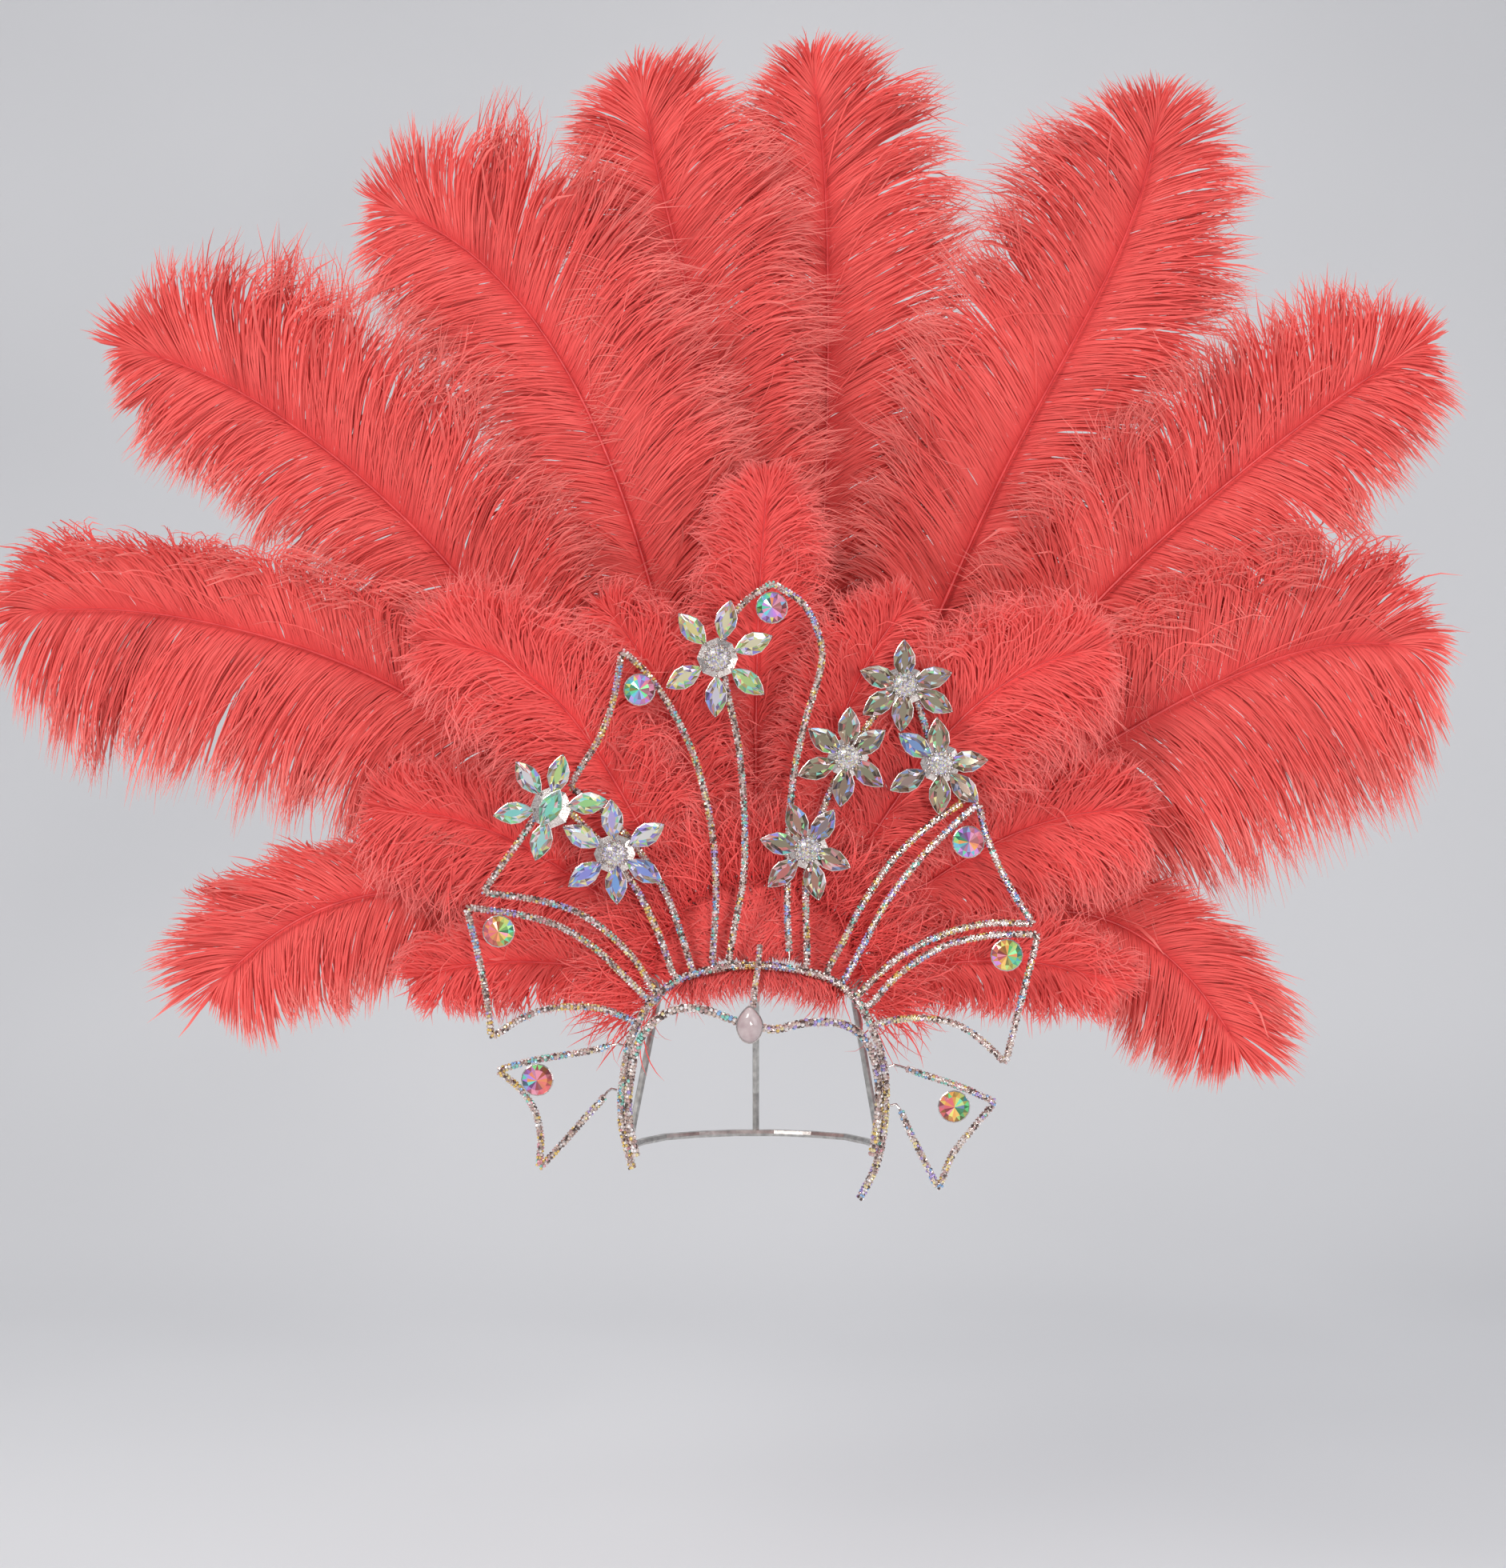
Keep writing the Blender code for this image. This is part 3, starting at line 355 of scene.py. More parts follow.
# What both kinds of feather share. A pair is the low and high end of a range, or a mean and its spread.
lockLook = dict(length=(0.86, 1.08), curl=(0.30, 0.55), depth=0.5, tone=0.13, edge=0.10)
barbLook = dict(
    length=(0.84, 1.10), width=(0.65, 1.45), twist=0.45, curl=0.25, strayCurl=0.6, strayTurn=0.30,
    waves=(0.7, 1.7), opening=15.0, forward=(0.2, 1.2), tone=(0.62, 0.12))
tipLook = dict(start=0.86, longest=110.0, curl=0.8)
# tone darkens the layer that lies behind the other barbs: painted shade
underLook = dict(length=0.90, width=2.5, behind=6 * mm, tone=0.28)
quillLook = dict(points=121, blur=13, forward=4.0 * mm, tip=0.30, sides=8, last=119, step=3)

# Columns: socket is degrees round the bar, layer counts from the rear, left and right are the longest barbs
# seen from the root towards the tip, droop is how far a barb hangs, tone its shade, and headings are the
# quill's direction in degrees at even steps. Lengths are in millimetres.
columns = ("name", "socket", "layer", "length", "left", "right", "droop", "tone", "headings")
plumes = [
    ("plume_top_center", 68, 0, 572, 90, 120, 0.08, -0.02, (83, 84, 86, 88, 90, 92, 100)),
    ("plume_top_left", 88, 1, 556, 90, 110, 0.08, 0.05, (95, 96, 96, 97, 99, 106, 98)),
    ("plume_upper_left", 108, 2, 540, 95, 135, 0.12, 0.04, (104, 104, 104, 108, 116, 132, 160)),
    ("plume_left", 128, 3, 548, 80, 150, 0.22, 0.02, (125, 125, 126, 129, 138, 147, 166)),
    ("plume_side_left", 148, 4, 512, 88, 150, 0.55, 0.1, (132, 133, 142, 152, 163, 172, 188)),
    ("plume_low_left", 168, 5, 330, 58, 95, 0.42, 0.12, (155, 157, 163, 180, 193, 213, 228)),
    ("plume_upper_right", 50, 1, 592, 125, 100, 0.08, -0.04, (67, 67, 67, 66, 61, 64, 84)),
    ("plume_right", 32, 2, 560, 128, 92, 0.2, 0.08, (53, 52, 52, 48, 41, 38, 32)),
    ("plume_side_right", 14, 3, 455, 180, 110, 0.5, 0.04, (46, 43, 37, 32, 28, 18, -12)),
    ("plume_low_right", -4, 4, 315, 84, 55, 0.42, 0.14, (27, 27, 20, -3, -30, -50, -60)),
]
tufts = [
    ("tuft_top", 90, 0, 272, 62, 62, 0.05, 0.02, (90, 90, 90, 89, 88, 86, 84)),
    ("tuft_center_left", 112, 1, 205, 58, 62, 0.1, 0.0, (108, 106, 104, 106, 112, 120, 130)),
    ("tuft_center_right", 68, 1, 205, 62, 58, 0.1, 0.0, (72, 74, 76, 74, 68, 60, 50)),
    ("tuft_upper_left", 133, 2, 258, 72, 80, 0.15, 0.04, (120, 119, 119, 123, 134, 152, 172)),
    ("tuft_upper_right", 47, 2, 258, 80, 75, 0.15, 0.04, (58, 57, 56, 52, 42, 28, 10)),
    ("tuft_mid_left", 154, 0, 215, 68, 72, 0.2, 0.0, (148, 146, 146, 150, 158, 168, 180)),
    ("tuft_mid_right", 26, 0, 215, 72, 68, 0.2, 0.02, (32, 34, 34, 30, 22, 12, 0)),
    ("tuft_low_left", 176, 1, 160, 38, 58, 0.2, 0.1, (172, 172, 174, 177, 182, 190, 198)),
    ("tuft_low_right", 4, 1, 175, 58, 40, 0.2, 0.1, (10, 8, 6, 2, -5, -14, -24)),
]


def plumeDepth(x, z, barY, layerY):
    # at the bar near the hub, then in the feather's layer, and forward in a shallow bowl further out
    fromHub = np.hypot(x, z - holder["hub"])
    turn = holder["radius"] + layers["start"]
    into = smoothStep(turn, turn + layers["run"], fromHub)
    out = np.maximum(0.0, (fromHub - bowl["start"]) / (bowl["reach"] - bowl["start"]))
    return barY + (layerY - barY) * into - bowl["depth"] * out**2


def steppedPath(heading, step):
    # x and z from zero on, in steps whose direction is the mean of the headings at both ends
    middle = (heading[..., 1:] + heading[..., :-1]) / 2
    path = np.zeros((2, *heading.shape))
    path[0, ..., 1:] = np.cumsum(np.cos(middle) * step, axis=-1)
    path[1, ..., 1:] = np.cumsum(np.sin(middle) * step, axis=-1)
    return path


def quillCurve(plume):
    # heading blurred along the length and summed up into (x, z) from the socket on
    blur = quillLook["blur"]
    share = np.linspace(0.0, 1.0, quillLook["points"])
    heading = np.interp(share, np.linspace(0.0, 1.0, len(plume["headings"])), plume["headings"])
    heading = np.radians(np.convolve(np.pad(heading, blur // 2, "edge"), np.ones(blur) / blur, "valid"))
    x, z = steppedPath(heading, plume["length"] * mm / (quillLook["points"] - 1))
    socket = math.radians(plume["socket"])
    x += holder["radius"] * math.cos(socket)
    z += holder["hub"] + holder["radius"] * math.sin(socket)
    return x, z, heading, share


def ribbonArrays(paths, width, twist, tone):
    # strips of len(paths) barbs: half width across the path, turned about it by twist, narrowing to the tip
    count, steps = paths.shape[:2]
    tangent = unit(np.gradient(paths, axis=1))
    across = unit(np.cross([0.0, 1.0, 0.0], tangent))
    normal = np.cross(across, tangent)
    along = np.linspace(0.0, 1.0, steps)
    angle = twist[:, None] * (0.4 + 0.6 * along)[None, :]
    half = across * np.cos(angle)[:, :, None] + normal * np.sin(angle)[:, :, None]
    narrow = (0.55 + 0.9 * along) * (1.0 - along) ** 0.45 + 0.08
    half *= (width[:, None] * narrow[None, :] / 2)[:, :, None]
    points = np.stack([paths - half, paths + half], axis=2).reshape(-1, 3)
    start = (np.arange(count)[:, None] * steps + np.arange(steps - 1)[None, :]) * 2
    quads = np.stack([start, start + 1, start + 3, start + 2], axis=-1).reshape(-1, 4)
    u = np.broadcast_to((0.02 + 0.96 * along)[None, :, None], (count, steps, 2))
    v = np.clip(tone, 0.01, 0.99)[:, None, None] + np.array([-0.004, 0.004])[None, None, :]
    v = np.broadcast_to(v, (count, steps, 2))
    return points, [quads], np.stack([u, v], axis=-1).reshape(-1, 2)


def sideBarbs(plume, style, side, barbLength, barY, layerY, rng):
    # barbs of one side: the direction turns from the quill outwards and curls at the end, each one
    # hangs by droop times its length times t^2, and the barbs of a lock draw together towards the tip.
    # A share of them lies behind the others as a wider and shorter layer, darkened as painted shade.
    x, z, heading, share = quillCurve(plume)
    density = style["barbsPerMm"] * 1.0
    first = style["first"]
    run = 1.0 - first
    count = int(density * plume["length"] * run)
    t = np.linspace(0.0, 1.0, style["segments"] + 1)[None, :]
    place = first + run * (np.arange(count) + rng.uniform(-0.5, 0.5, count)) / count
    place = np.clip(place, first, 1.0)
    lockCount = max(4, round(run * plume["length"] * mm / style["lock"]))
    lockAt = (place - first) / run * lockCount + rng.normal(0, lockLook["edge"], count)
    lock = np.clip(np.floor(lockAt), 0, lockCount - 1).astype(int)
    lockPlace = first + run * (lock + 0.5) / lockCount
    lockLength = rng.uniform(*lockLook["length"], lockCount)[lock]
    lockCurl = rng.normal(*lockLook["curl"], lockCount)[lock]
    lockDepth = rng.normal(0.0, lockLook["depth"], lockCount)[lock]
    lockTone = rng.normal(0.0, lockLook["tone"], lockCount)[lock]
    places, widths, sweeps = style["shape"].T
    width = np.interp(place, places, widths)
    sweep = np.radians(np.interp(place, places, sweeps))
    under = rng.random(count) < style["under"]
    atTip = smoothStep(tipLook["start"], 1.0, place)
    longest = barbLength + (min(barbLength, tipLook["longest"]) - barbLength) * atTip
    reach = longest * mm * width * lockLength * rng.uniform(*barbLook["length"], count)
    reach = (reach * np.where(under, underLook["length"], 1.0))[:, None]
    stray = rng.random(count) < style["stray"]
    wobble = rng.normal(0.0, style["messy"], count) + stray * rng.normal(0.0, barbLook["strayTurn"], count)
    curl = lockCurl + rng.normal(0.0, barbLook["curl"], count)
    curl += stray * rng.normal(0, barbLook["strayCurl"], count)
    curl *= np.radians(style["curl"]) * (1.0 - tipLook["curl"] * atTip)
    turns = t * rng.uniform(*barbLook["waves"], count)[:, None] + rng.random(count)[:, None]
    wave = np.radians(style["waves"]) * np.sin(2 * np.pi * turns)
    opening = np.radians(barbLook["opening"]) * (t - 0.45)
    bend = opening + curl[:, None] * t**3.2 + wave * t
    start = np.interp(place, share, heading)
    direction = start[:, None] + side * (sweep[:, None] + bend) + wobble[:, None]
    px, pz = steppedPath(direction, reach / style["segments"])
    pz -= plume["droop"] * reach * t**2
    pull = style["gather"] * t**1.6
    for way, quillWay in ((px, x), (pz, z)):
        root = np.interp(place, share, quillWay)[:, None]
        way += root + (np.interp(lockPlace, share, quillWay)[:, None] - root) * pull
    py = plumeDepth(px, pz, barY, layerY) - style["cup"] * width[:, None] * t
    py += (lockDepth * style["thickness"] + rng.normal(0.0, style["loose"], count))[:, None] * t
    py -= (style["forward"] * rng.uniform(*barbLook["forward"], count) * width)[:, None] * t**3
    py += (underLook["behind"] * under)[:, None] * smoothStep(0.0, 0.3, t)
    # the layer behind gets a lower tone, which is painted shade
    tone = plume["tone"] + lockTone + rng.normal(*barbLook["tone"], count) - underLook["tone"] * under
    return np.stack([px, py, pz], axis=-1), tone, under


def addFeather(plume, style, material, barY, layerY, seed):
    # strips for the barbs and a tapering tube for the quill
    rng = np.random.default_rng(seed)
    sides = ((1, plume["left"]), (-1, plume["right"]))
    barbs = [sideBarbs(plume, style, *side, barY, layerY, rng) for side in sides]
    paths, tone, under = (np.concatenate(both) for both in zip(*barbs))
    count = len(paths)
    widths = style["width"] * rng.uniform(*barbLook["width"], count)
    widths *= np.where(under, underLook["width"], 1.0)
    ribbons = ribbonArrays(paths, widths, rng.normal(0.0, barbLook["twist"], count), tone)
    x, z, _, share = quillCurve(plume)
    y = plumeDepth(x, z, barY, layerY) - quillLook["forward"] * smoothStep(0.05, 0.2, share)
    spine = np.column_stack([x, y, z])[:quillLook["last"]:quillLook["step"]]
    taper = np.linspace(1.0, quillLook["tip"], len(spine)) * style["quill"]
    tube = tubeArrays(spine, taper, quillLook["sides"], 0.5)
    points, faces, uv, slots = joined([(*ribbons, 0), (*tube, 1)])
    piece = newPiece("feather_" + plume["name"], points, faces, uv, [material, quill], slots, smooth=True)
    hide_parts(plume["name"])
    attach(piece, "root")
    return len(faces[0])


total = 0
for index, row in enumerate(plumes):
    plume = dict(zip(columns, row))
    layerY = layers["rear"] - layers["pitch"] * plume["layer"]
    total += addFeather(plume, plumeStyle, feather, holder["rearBar"], layerY, 100 + index)
for index, row in enumerate(tufts):
    tuft = dict(zip(columns, row))
    layerY = layers["tuftRear"] - layers["tuftPitch"] * tuft["layer"]
    total += addFeather(tuft, tuftStyle, fluff, holder["frontBar"], layerY, 200 + index)
print("feathers made:", total, "barb faces")


# Short fluff round the front bar and behind the arch, and fine down that falls forward under the arch

strandSteps = 7
collar = dict(
    seed=8, count=3400, start=-14.0, end=194.0, inner=64 * mm, outer=84 * mm, rear=34 * mm, front=14 * mm,
    shortest=26 * mm, longest=62 * mm, lean=0.42, turn=0.9, bow=14 * mm, loose=6 * mm,
    width=0.95 * mm, widths=(0.6, 1.4), tone=(0.60, 0.2), twist=0.8)
skirt = dict(
    seed=11, count=3600, start=6.0, end=174.0, outer=84 * mm, overlap=5 * mm, clear=8 * mm, rear=33 * mm,
    front=3 * mm, shortest=6 * mm, longest=40 * mm, lengths=(0.6, 1.05), crowd=0.8, lean=0.38, turn=0.5,
    bow=5 * mm, loose=7 * mm, width=1.15 * mm, widths=(0.6, 1.5), tone=(0.62, 0.18), twist=0.5)
# The down has a lower tone than the other fluff: painted shade under the arch.
down = dict(
    seed=7, count=2000, left=-57 * mm, right=60 * mm, rear=18 * mm, front=-30 * mm, sink=24 * mm,
    above=1 * mm, sideways=10 * mm, inwards=0.22, wave=2 * mm, waves=6.0, loose=1.2 * mm,
    width=0.9 * mm, widths=(0.6, 1.4), tone=(0.45, 0.2), twist=0.9)


def strandStart(style):
    # random numbers, number of strands and the shares along each
    rng = np.random.default_rng(style["seed"])
    return rng, style["count"] // 1, np.linspace(0.0, 1.0, strandSteps)[None, :]


def polarPaths(around, radius, direction, length):
    # x and z of strands that start at a polar angle and radius of the hub and step along their direction
    step = length / strandSteps
    px = (radius * np.cos(around))[:, None] + np.cumsum(np.cos(direction), axis=1) * step
    pz = holder["hub"] + (radius * np.sin(around))[:, None] + np.cumsum(np.sin(direction), axis=1) * step
    return px, pz


def addStrands(name, paths, style, rng):
    # one strip for each path, with its own tone, width and twist
    count = len(paths)
    tone = style["tone"][0] + rng.normal(0.0, style["tone"][1], count)
    widths = style["width"] * rng.uniform(*style["widths"], count)
    points, faces, uv = ribbonArrays(paths, widths, rng.normal(0.0, style["twist"], count), tone)
    piece = newPiece(name, points, faces, uv, [fluff], smooth=True)
    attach(piece, "root")


def addCollar():
    # each strand leaves at a polar angle of the hub, turned to either side, and bows forward as t(1 - t)
    rng, count, t = strandStart(collar)
    around = np.radians(rng.uniform(collar["start"], collar["end"], count))
    radius = rng.uniform(collar["inner"], collar["outer"], count)
    length = rng.uniform(collar["shortest"], collar["longest"], count)[:, None]
    heading = around + rng.normal(0.0, collar["lean"], count)
    direction = heading[:, None] + rng.normal(0.0, collar["turn"], count)[:, None] * t**1.5
    px, pz = polarPaths(around, radius, direction, length)
    depth = rng.uniform(collar["front"], collar["rear"], count)[:, None]
    py = depth - collar["bow"] * t * (1.0 - t) + collar["loose"] * rng.normal(0.0, 1.0, count)[:, None] * t
    addStrands("fluff_round_bar", np.stack([px, py, pz], axis=-1), collar, rng)


def addSkirt():
    # a strand at polar angle a starts anywhere between the bar and the arch, runs inwards, and lies
    # further forward the nearer it is to the arch
    rng, count, t = strandStart(skirt)
    route = np.array(archRoute[1:-1], float) * mm
    archAngle = np.arctan2(route[:, 2] - holder["hub"], route[:, 0])
    archRadius = np.hypot(route[:, 2] - holder["hub"], route[:, 0])
    archAngle = np.where(archAngle < -np.pi / 2, archAngle + 2 * np.pi, archAngle)
    order = np.argsort(archAngle)
    around = np.radians(rng.uniform(skirt["start"], skirt["end"], count))
    edge = np.interp(around, archAngle[order], archRadius[order]) - skirt["overlap"]
    share = rng.random(count) ** skirt["crowd"]
    radius = edge + skirt["clear"] + (skirt["outer"] - edge - skirt["clear"]) * share
    length = np.clip(radius - edge, skirt["shortest"], skirt["longest"])
    length *= rng.uniform(*skirt["lengths"], count)
    heading = around + np.pi + rng.normal(0.0, skirt["lean"], count)
    direction = heading[:, None] + rng.normal(0.0, skirt["turn"], count)[:, None] * t
    px, pz = polarPaths(around, radius, direction, length[:, None])
    height = (np.hypot(px, pz - holder["hub"]) - edge[:, None]) / (skirt["outer"] - edge)[:, None]
    depth = skirt["front"] + (skirt["rear"] - skirt["front"]) * np.clip(height, 0.0, 1.0)
    py = depth + rng.uniform(0, skirt["loose"], count)[:, None] - skirt["bow"] * t * (1.0 - t)
    addStrands("fluff_behind_arch", np.stack([px, py, pz], axis=-1), skirt, rng)


def addDown():
    # each strand starts behind the arch at (x, rear, height of the arch), runs forward and sinks as t^2
    rng, count, t = strandStart(down)
    x = rng.uniform(down["left"], down["right"], count)
    reach = rng.uniform(0.35, 1.0, count)[:, None]
    route = np.array(archRoute[3:10], float) * mm
    domeTop = np.interp(x, route[:, 0], route[:, 2]) + down["above"]
    sideways = (rng.normal(0.0, down["sideways"], count) - down["inwards"] * x)[:, None]
    wave = down["wave"] * np.sin(down["waves"] * t + rng.uniform(0, 6.28, count)[:, None])
    px = x[:, None] + sideways * t * reach + wave
    py = down["rear"] + (down["front"] - down["rear"]) * t * reach
    pz = domeTop[:, None] - down["sink"] * (t * reach) ** 2 + rng.normal(0, down["loose"], count)[:, None] * t
    addStrands("down_over_head", np.stack([px, py, pz], axis=-1), down, rng)


# Rhinestone ropes

rope = dict(
    arch=6.0 * mm, petal=5.2 * mm, stone=2.35 * mm, large=3.0 * mm, bare=1.6 * mm, bareLength=12 * mm,
    bareTop=9 * mm, pitch=0.96, crowd=0.80, inset=1.7 * mm, sink=1.0 * mm, rise=0.1 * mm, table=0.55,
    tilt=0.13, size=(0.90, 1.08), thin=0.86, coreStep=4 * mm)
spark = dict(rings=9, start=0.64, reach=0.35, often=0.40, seldom=0.12, spread=0.10)
petalSet = dict(
    plane=-5 * mm, lean=12 * mm, stagger=9 * mm, top=260 * mm, clear=50 * mm, stub=5 * mm, gap=0.3 * mm,
    cornerCut=0.35)
archRoute = [
    (-84, 8, -128), (-91, 4, -95), (-89, 0, -62), (-83, -3, -36), (-67, -5, -11), (-42, -5, 4),
    (0, -5, 10), (44, -5, 3), (67, -5, -13), (80, -3, -37), (87, 0, -64), (87, 4, -96), (82, 8, -125),
    (71, 12, -149),
]
browRoute = [
    (-77, -20, -38), (-60, -34, -20), (-38, -44, -16), (-12, -51, -24), (0, -52, -26), (12, -51, -29),
    (36, -44, -25), (60, -34, -28), (75, -20, -42),
]
browEnds = (-118, -92, -66)
browBeside = (-0.8, -0.6, 0.0)
centerRoute = [(2.6, -6.8, 23), (2, -8.4, 17), (1.5, -11.6, 9.5), (0, -22, 2), (-1, -36, -6), (-2, -46, -15)]

# Petals: feet are (x, z) on the arch, sides are smooth stretches of (x, z) that meet at corners
petals = {
    "petal_center": dict(feet=[(-17, 13), (21, 11)], stagger=0, sides=[
        [(-12, 48), (-8, 73), (-8, 116), (-12, 159), (-21, 203), (-22, 230), (-10, 253), (11, 268.5)],
        [(11, 268.5), (32, 254), (43, 232), (44, 211), (33, 173), (25, 135), (22, 94), (21, 50)]]),
    "petal_upper_left": dict(feet=[(-43, 7), (-29, 11)], stagger=1, sides=[
        [(-51, 32), (-62, 60), (-80, 88), (-103, 113), (-126, 130)],
        [(-126, 130), (-120, 141), (-106, 164), (-97, 189), (-91, 223)],
        [(-91, 223), (-74, 207), (-58, 184), (-44, 156), (-35, 127), (-29, 94), (-27, 62), (-28, 34)]]),
    "petal_side_left": dict(feet=[(-67, -7), (-54, 2)], stagger=0, sides=[
        [(-82, 14), (-100, 32), (-121, 46), (-148, 54), (-184, 59)],
        [(-184, 59), (-165, 86), (-152, 105), (-141, 128)],
        [(-141, 128), (-120, 108), (-100, 87), (-81, 62), (-66, 32)]]),
    "petal_lower_left": dict(feet=[(-84, -28), (-74, -11)], stagger=0, sides=[
        [(-101, -20), (-116, -18), (-138, -19), (-158, -26), (-178, -39)],
        [(-178, -39), (-182, -8), (-188, 21), (-195, 49)],
        [(-195, 49), (-159, 44), (-132, 36), (-108, 21), (-92, 6)]]),
    "petal_ear_left": dict(feet=[(-92, -75), (-90, -44)], stagger=0, bare=True, sides=[
        [(-105, -82), (-116, -94), (-131, -111), (-146, -127)],
        [(-146, -127), (-145, -106), (-149, -88), (-159, -73), (-174, -61)],
        [(-174, -61), (-154, -55), (-132, -51), (-108, -47)]]),
    "petal_upper_right": dict(feet=[(34, 10), (47, 2)], stagger=1, sides=[
        [(34, 40), (34, 70), (40, 97), (48, 121), (60, 147), (76, 172), (89, 189), (104, 205)],
        [(104, 205), (112, 181), (120, 156), (130, 137), (141, 120)],
        [(141, 120), (120, 106), (94, 82), (73, 52), (58, 24)]]),
    "petal_side_right": dict(feet=[(58, -1), (68, -10)], stagger=0, sides=[
        [(73, 25), (89, 54), (111, 82), (131, 102), (150, 119)],
        [(150, 119), (155, 98), (165, 74), (176, 54), (187, 38)],
        [(187, 38), (155, 38), (127, 31), (102, 19), (86, 7)]]),
    "petal_lower_right": dict(feet=[(74, -18), (85, -29)], stagger=0, sides=[
        [(89, -3), (103, 9), (127, 23), (158, 30), (190, 31)],
        [(190, 31), (184, 7), (177, -20), (168, -56)],
        [(168, -56), (151, -40), (135, -30), (116, -26), (101, -26)]]),
    "petal_ear_right": dict(feet=[(91, -58), (90, -85)], stagger=0, bare=True, sides=[
        [(111, -63), (138, -72), (161, -82)],
        [(161, -82), (146, -100), (132, -118), (123, -141)],
        [(123, -141), (112, -119), (103, -101)]]),
}

archCurve = denseCurve(np.array(archRoute) * mm)


def archFoot(x, z):
    # nearest point of the arch, and the direction outwards there
    nearest = np.argmin(np.hypot(archCurve[:, 0] - x * mm, archCurve[:, 2] - z * mm))
    nearest = min(max(nearest, 1), len(archCurve) - 2)
    outward = unit(np.cross([0.0, 1.0, 0.0], archCurve[nearest + 1] - archCurve[nearest - 1]))
    if outward @ (archCurve[nearest] - np.array([0.0, 0.0, archCurve[0, 2]])) < 0:
        outward = -outward
    return archCurve[nearest], outward


def petalDepth(z, stagger):
    # leans back with height, and a staggered petal stands behind its neighbours
    lean = petalSet["lean"] * smoothStep(petalSet["clear"], petalSet["top"], z)
    return petalSet["plane"] + lean + stagger * petalSet["stagger"] * smoothStep(0.0, petalSet["clear"], z)


def petalPath(petal):
    # curves through each side, joined at the corners, with a short stub straight out of the arch at each end
    sides = []
    for side in petal["sides"]:
        flat = np.array(side, float) * mm
        sides.append(np.column_stack([flat[:, 0], petalDepth(flat[:, 1], petal["stagger"]), flat[:, 1]]))
    for index in (0, 1):
        point, outward = archFoot(*petal["feet"][index])
        foot = point + outward * (rope["arch"] / 2 + petalSet["gap"])
        stub = foot + outward * petalSet["stub"]
        if index == 0:
            sides[0] = np.vstack([foot, stub, sides[0]])
        else:
            sides[-1] = np.vstack([sides[-1], stub, foot])
    runs = []
    for index, side in enumerate(sides):
        start = 0.0 if index == 0 else petalSet["cornerCut"] * rope["petal"]
        end = 0.0 if index == len(sides) - 1 else petalSet["cornerCut"] * rope["petal"]
        runs.append(trimmed(denseCurve(side), start, end))
    return np.vstack(runs)


def browPath():
    # its ends run beside the arch, on the inner side and a little in front
    ends = {}
    for side in (-1, 1):
        column = []
        for z in browEnds:
            sameSide = archCurve[archCurve[:, 0] * side > 0]
            point = sameSide[np.argmin(np.abs(sameSide[:, 2] - z * mm))]
            beside = np.array(browBeside) * (side, 1, 1)
            column.append(point + beside * (rope["arch"] + petalSet["gap"]))
        ends[side] = np.array(column)
    return denseCurve(np.vstack([ends[-1], np.array(browRoute) * mm, ends[1][::-1]]))


def ropeStones(path, diameter, stone, covered, rng):
    # hexagonal cut stones in staggered rings round the path: each one's girdle and table are hexagons.
    # The rings of a group share a spark colour, which some of their stones show.
    stations = evenPoints(path, rope["pitch"] * stone)
    tangent, side, up = pathFrames(stations)
    around = max(5, round(np.pi * (diameter - rope["inset"]) / (rope["crowd"] * stone)))
    stagger = 0.5 * (np.arange(len(stations)) % 2)[:, None]
    angle = (2 * np.pi * (np.arange(around)[None, :] + stagger) / around)[:, :, None]
    keep = np.repeat(covered(lengthsAlong(stations)), around)
    normal = side[:, None] * np.cos(angle) + up[:, None] * np.sin(angle)
    along = np.broadcast_to(tangent[:, None], normal.shape).reshape(-1, 3)[keep]
    center = np.broadcast_to(stations[:, None], normal.shape).reshape(-1, 3)[keep]
    normal = normal.reshape(-1, 3)[keep]
    count = len(normal)
    normal = unit(normal + rng.normal(0.0, rope["tilt"], (count, 3)))
    along = unit(along - normal * np.sum(along * normal, axis=1)[:, None])
    across = np.cross(normal, along)
    size = (stone / 2 * rng.uniform(*rope["size"], count))[:, None, None]
    turn = rng.uniform(0, np.pi / 3, count)[:, None] + roundAngles(6)[None, :]
    flat = along[:, None] * np.cos(turn)[:, :, None] + across[:, None] * np.sin(turn)[:, :, None]
    girdle = center[:, None] + normal[:, None] * (diameter / 2 - rope["sink"]) + flat * size
    table = center[:, None] + normal[:, None] * (diameter / 2 - rope["rise"]) + flat * size * rope["table"]
    points = np.concatenate([girdle, table], axis=1).reshape(-1, 3)
    corner = np.arange(6)
    quad = np.stack([corner, (corner + 1) % 6, (corner + 1) % 6 + 6, corner + 6], axis=-1)
    starts = np.arange(count) * 12
    quads = (starts[:, None, None] + quad[None]).reshape(-1, 4)
    tables = starts[:, None] + np.arange(6, 12)[None, :]
    rings = len(stations)
    sparks = np.repeat(rng.random(rings // spark["rings"] + 1), spark["rings"])[:rings]
    sparks = np.repeat(sparks, around)[keep]
    sparkling = rng.random(count) < np.where(sparks > 0.5, spark["often"], spark["seldom"])
    tint = spark["reach"] * ((sparks * 7.3) % 1.0 + rng.normal(0.0, spark["spread"], count))
    hue = spark["start"] + tint % spark["reach"]
    tone = np.where(sparkling, hue, spark["start"] * rng.random(count))
    # U makes each stone lighter towards one side at a random turn: painted facet light
    u = 0.5 + 0.45 * np.cos(turn + 1.0)
    u = np.concatenate([u, u], axis=1).reshape(-1)
    v = np.repeat(np.clip(tone, 0.01, 0.99), 12)
    return points, [quads, tables], np.column_stack([u, v])


